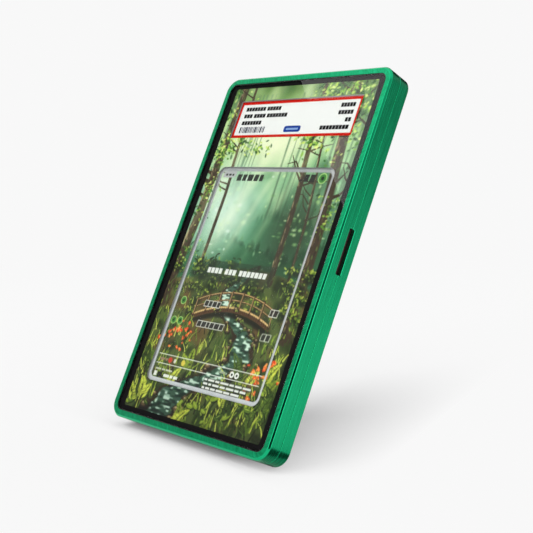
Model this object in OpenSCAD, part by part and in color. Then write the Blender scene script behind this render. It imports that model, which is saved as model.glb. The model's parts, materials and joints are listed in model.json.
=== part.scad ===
// Display case for one graded trading card, standing on its fold-out leg.
// Two machined frames close round a clear slab: the front half carries the window
// and the printed picture, the rear half carries the back panel and the kickstand.
// Pieces are drawn in the case's own frame and then leaned back as one:
// x across, y up along the case from its bottom edge, z out of the front face.
// Depths are counted rearwards from the front face and are positive numbers.

/* [Slab] */
// Width of the graded slab that the case holds
slab_w = 81; // [78:0.5:110]
// Height of the slab
slab_h = 136; // [130:0.5:170]
// Thickness of the slab
slab_t = 5.3; // [4.8:0.1:8]
// Corner radius of the slab
slab_r = 3; // [2.4:0.1:6]
// Thickness of the clear front face of the slab
slab_face_t = 0.8; // [0.6:0.1:1.6]
// Thickness of the clear rear face of the slab
slab_floor_t = 1.2; // [0.8:0.1:1.6]
// Width of the welded rim round the slab
slab_rim = 2.4; // [1.5:0.1:3]

/* [Card] */
// Width of the trading card
card_w = 63; // [55:0.5:70]
// Height of the trading card
card_h = 88; // [80:0.5:92]
// Thickness of the trading card
card_t = 0.35; // [0.3:0.01:0.6]
// Corner radius of the trading card
card_r = 3; // [1:0.1:5]
// Space between the slab's bottom edge and the card
card_margin = 12.8; // [8:0.1:14]
// Width of the paper label above the card
label_w = 65.8; // [50:0.1:70]
// Height of the paper label
label_h = 16; // [10:0.1:20]
// Thickness of the paper label
label_t = 0.25; // [0.1:0.01:0.4]
// Space between the slab's top edge and the label
label_margin = 6.35; // [5:0.05:9]
// Depth of the pockets that the card and the label lie in
pocket_t = 0.45; // [0.4:0.01:0.8]

/* [Frames] */
// Wall of both frames, from the outside to the slab's space
wall_t = 3.7; // [3.4:0.1:5.5]
// Outer corner radius of the case, as seen from the front
corner_r = 5.8; // [5.6:0.1:9]
// Depth of the front half, to the parting line
front_depth = 5.15; // [5:0.05:6]
// Polished chamfer round the front edge
chamfer = 0.65; // [0.3:0.05:1]
// Width of the front rim, from the outside to the window
bezel_w = 2.65; // [2:0.05:3]
// Small edge break round the rear edge
rear_edge = 0.45; // [0.2:0.05:1]
// Small edge breaks along the parting line
parting_edge = 0.18; // [0.1:0.02:0.4]
// Slip-fit space round the slab
slab_gap = 0.3; // [0.2:0.05:0.6]
// Air left between the two closed frames
parting_gap = 0.06; // [0.04:0.01:0.2]

/* [Pry slot] */
// Length of the pry slot in the right side
slot_len = 16.8; // [10:0.1:24]
// Width of the pry slot, across the parting line
slot_w = 2.6; // [2:0.1:4]
// Depth of the pry slot
slot_depth = 2.2; // [1:0.1:2.6]
// Radius of the slot's four corners
slot_corner = 0.5; // [0.2:0.05:0.9]
// Chamfer round the mouth of the slot
slot_chamfer = 0.3; // [0.1:0.05:0.5]
// Height of the slot's middle above the middle of the case
slot_rise = 3.55; // [-8:0.05:8]

/* [Window] */
// Thickness of the clear window panel
panel_t = 1.5; // [1.2:0.1:2]
// Step from the front rim down to the window panel
panel_inset = 0.15; // [0.1:0.05:0.4]
// Gap round the window panel, filled by black glue
panel_gap = 0.3; // [0.1:0.01:0.5]
// Step from the window panel's face down to the glue
glue_inset = 0.05; // [0:0.01:0.2]
// Thickness of the black border film
border_t = 0.1; // [0.05:0.01:0.2]
// Black border seen beside the picture
border_side = 3.4; // [2:0.1:6]
// Black border seen above the picture
border_top = 1.9; // [1.5:0.1:6]
// Black border seen below the picture
border_bottom = 2.4; // [1.5:0.1:6]
// Thickness of the adhesive tape behind the window
tape_t = 0.15; // [0.1:0.01:0.3]
// Thickness of the printed picture sheet
print_t = 0.12; // [0.1:0.01:0.14]
// Space round the card and the label in the picture sheet's openings
print_gap = 0.15; // [0.1:0.05:1]
// Air between the picture sheet's ledge and the slab
slab_air = 0.05; // [0.04:0.01:0.4]

/* [Back] */
// Air behind the slab, taken up by the soft liner
liner_air = 0.35; // [0.2:0.05:0.5]
// Thickness of the flange that the back panel is screwed to
flange_t = 1.1; // [1:0.1:2]
// Width of the flange, inwards from the wall
flange_w = 4; // [3.5:0.1:6]
// Thickness of the back panel
back_t = 1.7; // [1.6:0.1:2.2]
// Rim of the rear frame that shows round the back panel
back_rim = 2.2; // [1.5:0.1:2.6]
// Gap between that rim and the back panel
back_gap = 0.1; // [0.05:0.01:0.3]
// Rub space on each face of the soft liner
liner_gap = 0.06; // [0.05:0.01:0.12]

/* [Magnets and fasteners] */
// Radius of the closing magnets
magnet_r = 1; // [0.75:0.05:1.2]
// Length of each closing magnet
magnet_len = 2; // [1:0.1:2.2]
// Heights of the side magnets above and below the middle
magnet_side_y = [-52, -26, 26, 52];
// Places of the top and bottom magnets, from the middle
magnet_end_x = [-26, 26];
// Radius of the corner alignment pins
align_r = 0.75; // [0.5:0.05:0.8]
// Length of each alignment pin inside the rear frame
align_in = 2.5; // [2:0.1:3]
// Length of each alignment pin that enters the front frame
align_out = 1.8; // [1:0.1:2.4]
// Shank radius of the small screws
screw_r = 0.8; // [0.6:0.05:0.9]
// Countersunk head radius of the small screws
screw_head_r = 1.45; // [1.2:0.05:1.5]
// Height of the middle side screws above and below the middle
screw_mid_y = 22; // [12:1:50]

/* [Kickstand] */
// Lean of the case from the vertical, in degrees
lean = 25.5; // [18:0.5:30]
// Angle between the open leg and the back of the case, in degrees
leg_open = 36.7; // [32:0.1:40]
// Height of the hinge above the bottom edge, along the case
hinge_y = 64; // [54:1:76]
// Width of the leg at its hinge
leg_w = 30; // [24:1:34]
// Width of the leg at its foot
leg_tip_w = 18; // [16:1:28]
// Thickness of the leg
leg_t = 1.45; // [1.3:0.05:1.6]
// Radius of the leg's hinge barrel
barrel_r = 1.15; // [1.1:0.01:1.2]
// Radius of the hinge pin
pin_r = 0.6; // [0.4:0.05:0.65]
// Length of the rubber foot at the end of the leg
foot_len = 3; // [2:0.1:5]
// Width of each ear of the hinge block, beside the leg
ear_w = 5.7; // [4:0.1:8]
// Radius of the finger notch beside the leg
notch_r = 5; // [3:0.5:6]
// Distance of the finger notch from the leg's foot
notch_up = 16; // [8:1:30]

/* [Hidden] */
$fn = 64;

anodised_green = [0.05, 0.50, 0.33];
dark_print = [0.09, 0.09, 0.09];
steel = [0.70, 0.71, 0.72];

// Clearances of small fits
glue_fit = 0.03;
pin_fit = 0.01;
running_fit = 0.05;
align_fit = 0.06;
leg_gap = 0.35;
block_gap = 0.15;
part_gap = 0.1;
barrel_gap = 0.05;
heel_gap = 0.02;
// A cutter reaches this far past the face that it opens
past = 1;

// Overall size
case_w = slab_w + 2 * (slab_gap + wall_t);
case_h = slab_h + 2 * (slab_gap + wall_t);

// Depths behind the front face
panel_back = panel_inset + panel_t;
border_back = panel_back + border_t;
ledge_z = border_back + tape_t;
slab_z = ledge_z + slab_air;
slab_back = slab_z + slab_t;
flange_z = slab_back + liner_air;
back_z = flange_z + flange_t;
case_d = back_z + back_t;
front_end = front_depth - parting_gap / 2;
rear_start = front_depth + parting_gap / 2;

// Card and label places, as heights of their middles
card_y = wall_t + slab_gap + card_margin + card_h / 2;
label_y = case_h - wall_t - slab_gap - label_margin - label_h / 2;

// Inside of the slab
tray_play = 0.15;
shell_split = slab_z + slab_t / 2;
weld_gap = 0.03;
tray_z = slab_z + slab_face_t + weld_gap;
tray_back = slab_back - slab_floor_t - weld_gap;
tray_w = slab_w - 2 * slab_rim;
tray_h = slab_h - 2 * slab_rim;
tray_r = 1.5;
card_lift = 0.01;

// Small corner radii
border_r = 0.8;
label_r = 0.4;
liner_r = 2;

// Kickstand
block_floor = 0.4;
block_wall = 1.5;
axis_z = case_d - barrel_gap - barrel_r;
pocket_floor_z = axis_z - barrel_r - part_gap;
block_z = pocket_floor_z - block_floor;
heel_front = 0.25;
heel_len = (barrel_r + heel_front * cos(leg_open) + heel_gap) / sin(leg_open);
pocket_top = norm([heel_len, barrel_r]) + leg_gap;
block_low = 4;
block_top = pocket_top + block_wall;
base_side = 5;
base_rise = 3;
floor_drop = (case_d - rear_edge) * sin(lean);
hinge_height = hinge_y * cos(lean) - axis_z * sin(lean) + floor_drop;
leg_len = hinge_height / cos(leg_open - lean);
foot_trim = 0.1;
foot_spare = barrel_r * tan(leg_open - lean) + foot_trim;
tip_r = 2.5;
tongue_t = 0.6;
tongue_len = 1.7;
tongue_w = leg_tip_w - 2 * tip_r;
tongue_z = (leg_t - tongue_t) / 2 - barrel_r;
pin_short = 1;
pin_len = leg_w + 2 * (ear_w - pin_short);

// Screw places on the flange of the rear frame, and on the hinge block
screw_inset = wall_t + flange_w / 2;
screw_xs = [-1, 1] * (case_w / 2 - screw_inset);
screw_ys = [screw_inset, case_h / 2 - screw_mid_y, case_h / 2 + screw_mid_y, case_h - screw_inset];
hinge_screw_x = leg_w / 2 + ear_w + base_side / 2 + block_gap;
hinge_screw_rise = 3;
hinge_screw_mid = 1.6;
hinge_screw_ys = [for (s = [-1, 1]) hinge_y + hinge_screw_mid + s * hinge_screw_rise];

// The standing case is centred over its base and touches the floor at height 0
front_low_y = chamfer * sin(lean);
back_high_y = (case_h - rear_edge) * sin(lean) + case_d * cos(lean);
stand_y = -(front_low_y + back_high_y) / 2;

// Leans a piece from the case's own frame into the standing pose
module standing() {
    translate([0, stand_y, floor_drop])
        rotate([90 - lean, 0, 0])
            children();
}

// Everything below the floor, in the case's own frame
module floor_block() {
    rotate([lean - 90, 0, 0])
        translate([-leg_w, -case_h, -case_h - floor_drop])
            cube([2 * leg_w, 3 * case_h, case_h]);
}

// Turns a leg piece about the hinge, from folded flat to open
module on_hinge() {
    translate([0, hinge_y, -axis_z])
        rotate([leg_open, 0, 0])
            children();
}

// A flat rectangle with round corners, centred on x and y
module round_rect(w, h, r) {
    square([w - 2 * r, h], center = true);
    square([w, h - 2 * r], center = true);
    for (sx = [-1, 1], sy = [-1, 1])
        translate([sx * (w / 2 - r), sy * (h / 2 - r)])
            circle(r = r);
}

// A round-cornered plate whose middle is at height y, from depth z1 back to z2
module plate(w, h, r, y, z1, z2) {
    translate([0, y, -z2])
        linear_extrude(height = z2 - z1)
            round_rect(w, h, r);
}

// A plate that lies a given distance inside the case's outline, all round
module inset_plate(inset, z1, z2) {
    plate(case_w - 2 * inset, case_h - 2 * inset, corner_r - inset, case_h / 2, z1, z2);
}

// Sweeps a wall profile round the case; its x counts inwards from the outside
module swept_ring() {
    straight_w = case_w - 2 * corner_r;
    straight_h = case_h - 2 * corner_r;
    for (s = [0, 1]) {
        translate([0, case_h / 2, 0])
            rotate([0, 0, 180 * s])
                translate([case_w / 2, straight_h / 2, 0])
                    rotate([90, 0, 0])
                        linear_extrude(height = straight_h)
                            mirror([1, 0])
                                children();
        translate([0, case_h / 2, 0])
            rotate([0, 0, 90 + 180 * s])
                translate([case_h / 2, straight_w / 2, 0])
                    rotate([90, 0, 0])
                        linear_extrude(height = straight_w)
                            mirror([1, 0])
                                children();
    }
    for (sx = [-1, 1], sy = [-1, 1])
        translate([sx * straight_w / 2, case_h / 2 + sy * straight_h / 2, 0])
            rotate([0, 0, sx > 0 ? (sy > 0 ? 0 : 270) : (sy > 0 ? 90 : 180)])
                rotate_extrude(angle = 90)
                    translate([corner_r, 0])
                        mirror([1, 0])
                            children();
}

// A bar along y whose cross-section widens from half to half + 2 chamfers, through the surface of the side wall
module slot_flare(half, long) {
    translate([0, long, 0])
        rotate([90, 0, 0])
            linear_extrude(height = 2 * long)
                polygon([
                    [-half, -slot_chamfer],
                    [half, -slot_chamfer],
                    [half + 2 * slot_chamfer, slot_chamfer],
                    [-half - 2 * slot_chamfer, slot_chamfer]
                ]);
}

// The pry slot with its small round corners and chamfered mouth, cut into the right side
module pry_slot() {
    reach = slot_len / 2 - slot_corner;
    across = slot_w / 2 - slot_corner;
    translate([case_w / 2, case_h / 2 + slot_rise, -front_depth])
        rotate([0, 90, 0]) {
            translate([0, 0, -slot_depth])
                linear_extrude(height = slot_depth + past)
                    union() {
                        square([slot_w, 2 * reach], center = true);
                        square([2 * across, slot_len], center = true);
                        for (sx = [-1, 1], sy = [-1, 1])
                            translate([sx * across, sy * reach])
                                circle(r = slot_corner);
                    }
            for (sx = [-1, 1], sy = [-1, 1])
                translate([sx * across, sy * reach, -slot_chamfer])
                    cylinder(r1 = slot_corner, r2 = slot_corner + 2 * slot_chamfer, h = 2 * slot_chamfer);
            slot_flare(slot_w / 2, reach);
            rotate([0, 0, 90])
                slot_flare(slot_len / 2, across);
        }
}

// Places a child at each closing magnet, on the middle of the frames' wall
module at_magnets() {
    for (sx = [-1, 1], y = magnet_side_y)
        translate([sx * (case_w / 2 - wall_t / 2), case_h / 2 + y, 0])
            children();
    for (sy = [-1, 1], x = magnet_end_x)
        translate([x, case_h / 2 + sy * (case_h / 2 - wall_t / 2), 0])
            children();
}

// Places a child at each corner alignment pin
module at_corners() {
    out = (corner_r - wall_t / 2) * cos(45);
    for (sx = [-1, 1], sy = [-1, 1])
        translate([
            sx * (case_w / 2 - corner_r + out),
            case_h / 2 + sy * (case_h / 2 - corner_r + out),
            0
        ])
            children();
}

// Front half

module front_frame() {
    color(anodised_green)
        difference() {
            swept_ring()
                polygon([
                    [chamfer, 0],
                    [bezel_w, 0],
                    [bezel_w, -ledge_z],
                    [wall_t, -ledge_z],
                    [wall_t, -front_end],
                    [parting_edge, -front_end],
                    [0, -front_end + parting_edge],
                    [0, -chamfer]
                ]);
            pry_slot();
            at_magnets()
                translate([0, 0, -front_end - past])
                    cylinder(r = magnet_r + glue_fit, h = magnet_len + glue_fit + past);
            at_corners()
                translate([0, 0, -front_end - past])
                    cylinder(r = align_r + align_fit, h = align_out + align_fit + past);
        }
}

module window_panel() {
    inset = bezel_w + panel_gap;
    color([0.85, 0.90, 0.90, 0.3])
        inset_plate(inset, panel_inset, panel_back);
}

// The bead fills the gap round the window panel and the border film
module window_glue() {
    color(dark_print)
        difference() {
            inset_plate(bezel_w, panel_inset + glue_inset, border_back);
            inset_plate(bezel_w + panel_gap, panel_inset - past, border_back + past);
        }
}

module black_border() {
    inset = bezel_w + panel_gap;
    seen_w = case_w - 2 * bezel_w - 2 * border_side;
    seen_h = case_h - 2 * bezel_w - border_top - border_bottom;
    seen_y = bezel_w + border_bottom + seen_h / 2;
    color(dark_print)
        difference() {
            inset_plate(inset, panel_back, border_back);
            plate(seen_w, seen_h, border_r, seen_y, panel_back - past, border_back + past);
        }
}

module window_tape() {
    inset = bezel_w + panel_gap;
    inner = wall_t + glue_fit;
    color([0.80, 0.80, 0.75])
        difference() {
            inset_plate(inset, border_back, ledge_z);
            inset_plate(inner, border_back - past, ledge_z + past);
        }
}

module picture_sheet() {
    inset = wall_t + slab_gap;
    sheet_back = border_back + print_t;
    color([0.42, 0.52, 0.30])
        difference() {
            inset_plate(inset, border_back, sheet_back);
            plate(card_w + 2 * print_gap, card_h + 2 * print_gap, card_r + print_gap, card_y,
                border_back - past, sheet_back + past);
            plate(label_w + 2 * print_gap, label_h + 2 * print_gap, label_r + print_gap, label_y,
                border_back - past, sheet_back + past);
        }
}

module front_magnets() {
    color(steel)
        at_magnets()
            translate([0, 0, -front_end])
                cylinder(r = magnet_r, h = magnet_len);
}

// Graded slab and its contents

module slab_front_shell() {
    color([0.90, 0.92, 0.93, 0.3])
        difference() {
            plate(slab_w, slab_h, slab_r, case_h / 2, slab_z, shell_split - weld_gap / 2);
            plate(tray_w, tray_h, tray_r, case_h / 2, slab_z + slab_face_t, shell_split + past);
        }
}

module slab_rear_shell() {
    color([0.90, 0.92, 0.93, 0.3])
        difference() {
            plate(slab_w, slab_h, slab_r, case_h / 2, shell_split + weld_gap / 2, slab_back);
            plate(tray_w, tray_h, tray_r, case_h / 2, shell_split - past, slab_back - slab_floor_t);
        }
}

module card_tray() {
    color([0.93, 0.94, 0.95])
        difference() {
            plate(tray_w - 2 * tray_play, tray_h - 2 * tray_play, tray_r - tray_play, case_h / 2,
                tray_z, tray_back);
            plate(card_w + 2 * tray_play, card_h + 2 * tray_play, card_r + tray_play, card_y,
                tray_z - past, tray_z + pocket_t);
            plate(label_w + 2 * tray_play, label_h + 2 * tray_play, label_r + tray_play, label_y,
                tray_z - past, tray_z + pocket_t);
        }
}

module trading_card() {
    color([0.75, 0.76, 0.76])
        plate(card_w, card_h, card_r, card_y, tray_z + card_lift, tray_z + card_lift + card_t);
}

module slab_label() {
    color([0.85, 0.12, 0.08])
        plate(label_w, label_h, label_r, label_y, tray_z + card_lift, tray_z + card_lift + label_t);
}

// Rear half

module rear_frame() {
    flange_root = 0.4;
    inner = wall_t + flange_w;
    color(anodised_green)
        difference() {
            union() {
                swept_ring()
                    polygon([
                        [parting_edge, -rear_start],
                        [wall_t, -rear_start],
                        [wall_t, -back_z],
                        [back_rim, -back_z],
                        [back_rim, -case_d],
                        [rear_edge, -case_d],
                        [0, -case_d + rear_edge],
                        [0, -rear_start - parting_edge]
                    ]);
                difference() {
                    inset_plate(wall_t - flange_root, flange_z, back_z);
                    plate(case_w - 2 * inner, case_h - 2 * inner, liner_r, case_h / 2,
                        flange_z - past, back_z + past);
                }
            }
            pry_slot();
            at_magnets()
                translate([0, 0, -rear_start - magnet_len - glue_fit])
                    cylinder(r = magnet_r + glue_fit, h = magnet_len + glue_fit + past);
            at_corners()
                translate([0, 0, -rear_start - align_in - glue_fit])
                    cylinder(r = align_r + pin_fit, h = align_in + glue_fit + past);
            for (x = screw_xs, y = screw_ys)
                translate([x, y, -back_z - past])
                    cylinder(r = screw_r + glue_fit, h = flange_t + 2 * past);
        }
}

module rear_magnets() {
    color(steel)
        at_magnets()
            translate([0, 0, -rear_start - magnet_len])
                cylinder(r = magnet_r, h = magnet_len);
}

module alignment_pins() {
    tip = 0.3;
    color(steel)
        at_corners() {
            translate([0, 0, -rear_start - align_in])
                cylinder(r = align_r, h = align_in + parting_gap + align_out - tip);
            translate([0, 0, -front_end + align_out - tip])
                cylinder(r1 = align_r, r2 = align_r - tip, h = tip);
        }
}

module back_liner() {
    inset = wall_t + flange_w + slab_gap;
    side = leg_w / 2 + ear_w + base_side + slab_gap;
    color([0.12, 0.12, 0.13])
        difference() {
            plate(case_w - 2 * inset, case_h - 2 * inset, liner_r - slab_gap, case_h / 2,
                slab_back + liner_gap, back_z - liner_gap);
            translate([-side, hinge_y - block_low - slab_gap, -case_d])
                cube([2 * side, block_low + block_top + base_rise + 2 * slab_gap, case_d]);
        }
}

// Outline of the leg, hinge at the origin and foot along -y, grown by a gap and made longer
module leg_outline(grow, longer) {
    end = leg_len + longer + grow;
    root = leg_w / 2 + grow;
    tip = leg_tip_w / 2 + grow;
    r = tip_r + grow;
    polygon([
        [-root, 0],
        [-root, -block_low],
        [-tip, -end + r],
        [-tip + r, -end],
        [tip - r, -end],
        [tip, -end + r],
        [root, -block_low],
        [root, 0]
    ]);
    for (s = [-1, 1])
        translate([s * (tip - r), -end + r])
            circle(r = r);
}

// A countersunk hole from the rear face, or with no play the screw's own body
module screw_form(length, play) {
    head_h = screw_head_r - screw_r;
    translate([0, 0, -case_d])
        cylinder(r1 = screw_head_r + play, r2 = screw_r + play, h = head_h);
    translate([0, 0, -case_d])
        cylinder(r = screw_r + play, h = length);
}

module small_screw(length) {
    socket_r = 0.5;
    socket_deep = 0.5;
    difference() {
        screw_form(length, 0);
        translate([0, 0, -case_d - past])
            cylinder(r = socket_r, h = socket_deep + past, $fn = 6);
    }
}

module back_panel() {
    inset = back_rim + back_gap;
    side = leg_w / 2 + ear_w + block_gap;
    notch_out = 1;
    color(anodised_green)
        difference() {
            inset_plate(inset, back_z, case_d);
            translate([0, hinge_y, -case_d - past])
                linear_extrude(height = back_t + 2 * past)
                    leg_outline(leg_gap, foot_spare);
            translate([-side, hinge_y - block_low - block_gap, -case_d - past])
                cube([2 * side, block_low + block_top + 2 * block_gap, back_t + 2 * past]);
            translate([leg_tip_w / 2 + notch_out, hinge_y - leg_len + notch_up, -case_d - past])
                cylinder(r = notch_r, h = back_t + 2 * past);
            for (x = screw_xs, y = screw_ys)
                translate([x, y, 0])
                    screw_form(back_t + past, glue_fit);
            for (x = [-1, 1] * hinge_screw_x, y = hinge_screw_ys)
                translate([x, y, 0])
                    screw_form(back_t + past, glue_fit);
        }
}

module back_screws() {
    color(steel)
        for (x = screw_xs, y = screw_ys)
            translate([x, y, 0])
                small_screw(back_t + flange_t);
}

module hinge_block() {
    side = leg_w / 2 + ear_w;
    base = side + base_side;
    slot = leg_w / 2 + leg_gap;
    color([0.16, 0.17, 0.17])
        difference() {
            union() {
                translate([-side, hinge_y - block_low, -case_d])
                    cube([2 * side, block_low + block_top, case_d - block_z]);
                translate([-base, hinge_y - block_low, -back_z])
                    cube([2 * base, block_low + block_top + base_rise, back_z - block_z]);
            }
            translate([-slot, hinge_y - block_low - past, -case_d - past])
                cube([2 * slot, block_low + pocket_top + past, case_d - pocket_floor_z + past]);
            translate([-side - past, hinge_y, -axis_z])
                rotate([0, 90, 0])
                    cylinder(r = pin_r + pin_fit, h = 2 * (side + past));
            for (x = [-1, 1] * hinge_screw_x, y = hinge_screw_ys)
                translate([x, y, -back_z - past])
                    cylinder(r = screw_r + glue_fit, h = back_z - block_z + 2 * past);
        }
}

module hinge_screws() {
    color(steel)
        for (x = [-1, 1] * hinge_screw_x, y = hinge_screw_ys)
            translate([x, y, 0])
                small_screw(case_d - block_z - part_gap);
}

module hinge_pin() {
    color(steel)
        translate([-pin_len / 2, hinge_y, -axis_z])
            rotate([0, 90, 0])
                cylinder(r = pin_r, h = pin_len);
}

// Kickstand

// The leg lies flat with its rear face level with the back of its barrel
module kickstand_leg() {
    metal_end = leg_len - foot_len;
    color(anodised_green)
        on_hinge()
            difference() {
                union() {
                    difference() {
                        translate([0, 0, -barrel_r])
                            linear_extrude(height = leg_t)
                                leg_outline(0, 0);
                        translate([-leg_w, -metal_end - case_h, -leg_w])
                            cube([2 * leg_w, case_h, 2 * leg_w]);
                    }
                    translate([-tongue_w / 2, -metal_end - tongue_len, tongue_z])
                        cube([tongue_w, tongue_len + past, tongue_t]);
                    translate([-leg_w / 2, -block_low, -barrel_r])
                        cube([leg_w, block_low + heel_len, barrel_r - heel_front]);
                    translate([-leg_w / 2, 0, 0])
                        rotate([0, 90, 0])
                            cylinder(r = barrel_r, h = leg_w);
                }
                translate([-leg_w / 2 - past, 0, 0])
                    rotate([0, 90, 0])
                        cylinder(r = pin_r + running_fit, h = leg_w + 2 * past);
            }
}

// Rubber cap on the leg's tongue, cut level with the floor
module kickstand_foot() {
    metal_end = leg_len - foot_len;
    play = glue_fit;
    color([0.10, 0.10, 0.10])
        difference() {
            on_hinge()
                difference() {
                    translate([0, 0, -barrel_r])
                        linear_extrude(height = leg_t)
                            leg_outline(0, foot_spare);
                    translate([-leg_w, -metal_end - play, -leg_w])
                        cube([2 * leg_w, case_h, 2 * leg_w]);
                    translate([-tongue_w / 2 - play, -metal_end - tongue_len - play, tongue_z - play])
                        cube([tongue_w + 2 * play, tongue_len + foot_len, tongue_t + 2 * play]);
                }
            floor_block();
        }
}

standing() front_frame();
standing() window_panel();
standing() window_glue();
standing() black_border();
standing() window_tape();
standing() picture_sheet();
standing() front_magnets();
standing() slab_front_shell();
standing() slab_rear_shell();
standing() card_tray();
standing() trading_card();
standing() slab_label();
standing() rear_frame();
standing() rear_magnets();
standing() alignment_pins();
standing() back_liner();
standing() back_panel();
standing() back_screws();
standing() hinge_block();
standing() hinge_screws();
standing() hinge_pin();
standing() kickstand_leg();
standing() kickstand_foot();
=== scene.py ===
# Trading card display case: looks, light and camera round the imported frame
import math

import bmesh
import bpy
import numpy as np
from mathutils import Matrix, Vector
from mathutils.geometry import delaunay_2d_cdt
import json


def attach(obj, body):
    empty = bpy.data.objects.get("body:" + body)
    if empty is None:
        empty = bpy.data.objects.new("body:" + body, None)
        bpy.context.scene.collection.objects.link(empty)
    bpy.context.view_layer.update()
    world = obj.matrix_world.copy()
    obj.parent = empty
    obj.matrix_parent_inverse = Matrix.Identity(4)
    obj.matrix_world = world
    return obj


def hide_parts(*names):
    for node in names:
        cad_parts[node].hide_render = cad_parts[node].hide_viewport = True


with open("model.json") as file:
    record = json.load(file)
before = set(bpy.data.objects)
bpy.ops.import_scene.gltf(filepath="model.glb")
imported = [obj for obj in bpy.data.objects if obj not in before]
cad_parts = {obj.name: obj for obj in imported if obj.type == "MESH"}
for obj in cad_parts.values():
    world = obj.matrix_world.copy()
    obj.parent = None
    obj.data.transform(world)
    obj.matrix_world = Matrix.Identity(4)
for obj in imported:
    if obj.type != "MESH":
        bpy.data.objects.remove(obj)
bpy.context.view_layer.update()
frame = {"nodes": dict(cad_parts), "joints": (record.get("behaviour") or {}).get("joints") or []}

scene = bpy.context.scene
mm = 0.001

# The case's own frame: x across, y up along the case, z out of its front face, in millimetres
outward = np.array(frame["joints"][0]["axis"], float)
outward /= np.linalg.norm(outward)
caseAxes = np.array([[1, 0, 0], [0, outward[2], -outward[1]], outward])
lean = math.atan2(outward[2], -outward[1])


# A node's vertices as an array of rows
def nodePoints(name):
    mesh = frame["nodes"][name].data
    points = np.empty(len(mesh.vertices) * 3, np.float32)
    mesh.vertices.foreach_get("co", points)
    return points.reshape(-1, 3).astype(float)


along = nodePoints("front_frame") @ caseAxes.T
origin = np.array([0, along[:, 1].min(), along[:, 2].max()]) @ caseAxes


# World metres to case millimetres, and back
def toCase(points):
    return (np.asarray(points, float) - origin) @ caseAxes.T / mm


def toWorld(points):
    return np.asarray(points, float) * mm @ caseAxes + origin


# Lowest and highest corner of a node in the case's frame
def caseBox(name):
    points = toCase(nodePoints(name))
    return points.min(0), points.max(0)


frontHigh = caseBox("front_frame")[1]
caseSize = {"w": 2 * frontHigh[0], "h": frontHigh[1], "corner": 5.8}
halfWide, middleY = caseSize["w"] / 2, caseSize["h"] / 2

view = {"offset": (281.8, -76.8, 236.0), "ahead": (-0.73540, 0.66960, -0.10430), "lens": 69.10,
        "sensor": 36.0, "clip": (0.01, 30.0)}


# A camera with a level horizon, placed from the middle of the front face
def makeCamera():
    data = bpy.data.cameras.new("camera")
    data.lens, data.sensor_width = view["lens"], view["sensor"]
    data.clip_start, data.clip_end = view["clip"]
    camera = bpy.data.objects.new("camera", data)
    scene.collection.objects.link(camera)
    camera.location = toWorld(np.add(view["offset"], (0, middleY, 0)))
    camera.rotation_mode = "QUATERNION"
    camera.rotation_quaternion = Vector(view["ahead"]).to_track_quat("-Z", "Y")
    scene.camera = camera
    return np.array(camera.location)


eye = makeCamera()
print("camera at", eye.round(4))


class NodeTree:
    # Short calls for adding and linking the nodes of one material or group
    def __init__(self, tree):
        self.tree = tree

    # From an output to an input
    def link(self, value, socket):
        self.tree.links.new(value, socket)

    # A new node: each input is linked when its value is a socket, else set
    def add(self, kind, inputs=None, **settings):
        node = self.tree.nodes.new("ShaderNode" + kind)
        for key, value in settings.items():
            setattr(node, key, value)
        for key, value in (inputs or {}).items():
            if isinstance(value, bpy.types.NodeSocket):
                self.link(value, node.inputs[key])
            else:
                node.inputs[key].default_value = value
        return node

    # Two values joined by one operation
    def math(self, operation, a, b=0.0):
        return self.add("Math", {0: a, 1: b}, operation=operation).outputs[0]

    # Colour a turned into colour b by a share
    def mix(self, share, a, b, how="MIX"):
        return self.add("Mix", {0: share, 6: a, 7: b}, data_type="RGBA", blend_type=how).outputs[2]

    # A value carried from one range to another, straight between the ends and held beyond them
    def spread(self, value, low, high, toLow, toHigh):
        return self.add("MapRange", {0: value, 1: low, 2: high, 3: toLow, 4: toHigh}).outputs[0]

    # Fractal noise from 0 to 1
    def noise(self, vector, scale, detail=3.0, rough=0.5):
        return self.add("TexNoise", {"Vector": vector, "Scale": scale, "Detail": detail,
                                     "Roughness": rough}).outputs[0]

    # A node group fed with a vector and plain numbers
    def group(self, made, vector, *values):
        node = self.add("Group", node_tree=made)
        self.link(vector, node.inputs[0])
        for socket, value in zip(node.inputs[1:], values):
            socket.default_value = value
        return list(node.outputs)

    # One where the ray is of any of the kinds, else zero
    def rays(self, *kinds):
        path = self.add("LightPath").outputs
        share = path["Is " + kinds[0] + " Ray"]
        for kind in kinds[1:]:
            share = self.math("MAXIMUM", share, path["Is " + kind + " Ray"])
        return share

    # A height as relief on the shader's normal, its distance in millimetres
    def relief(self, shader, height, strength, distance):
        node = self.add("Bump", {"Strength": strength, "Distance": distance * mm, "Height": height})
        self.link(node.outputs[0], shader.inputs["Normal"])


# The node tree of a material or a world, emptied
def emptyTree(data):
    data.use_nodes = True
    data.node_tree.nodes.clear()
    return NodeTree(data.node_tree)


# Display values to linear light, and back
def toLinear(c):
    return np.where(c <= 0.04045, c / 12.92, ((c + 0.055) / 1.055) ** 2.4)


def toDisplay(c):
    return np.where(c <= 0.0031308, c * 12.92, 1.055 * np.maximum(c, 1e-9) ** (1 / 2.4) - 0.055)


# sRGB numbers from 0 to 255 as a linear colour
def colour(*rgb):
    return tuple(toLinear(np.array(rgb, float) / 255)) + (1.0,)


# A colour made lighter or darker
def shaded(base, share):
    return tuple(min(1.0, c * share) for c in base[:3]) + (1.0,)


# A shader node group with named inputs and plain number outputs
def newGroup(name, inputs, outputs):
    group = bpy.data.node_groups.new(name, "ShaderNodeTree")
    for key, kind, value in inputs:
        socket = group.interface.new_socket(key, in_out="INPUT", socket_type="NodeSocket" + kind)
        if value is not None:
            socket.default_value = value
    for key in outputs:
        group.interface.new_socket(key, in_out="OUTPUT", socket_type="NodeSocketFloat")
    nodes = group.nodes
    return group, NodeTree(group), nodes.new("NodeGroupInput").outputs, nodes.new("NodeGroupOutput").inputs


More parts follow.
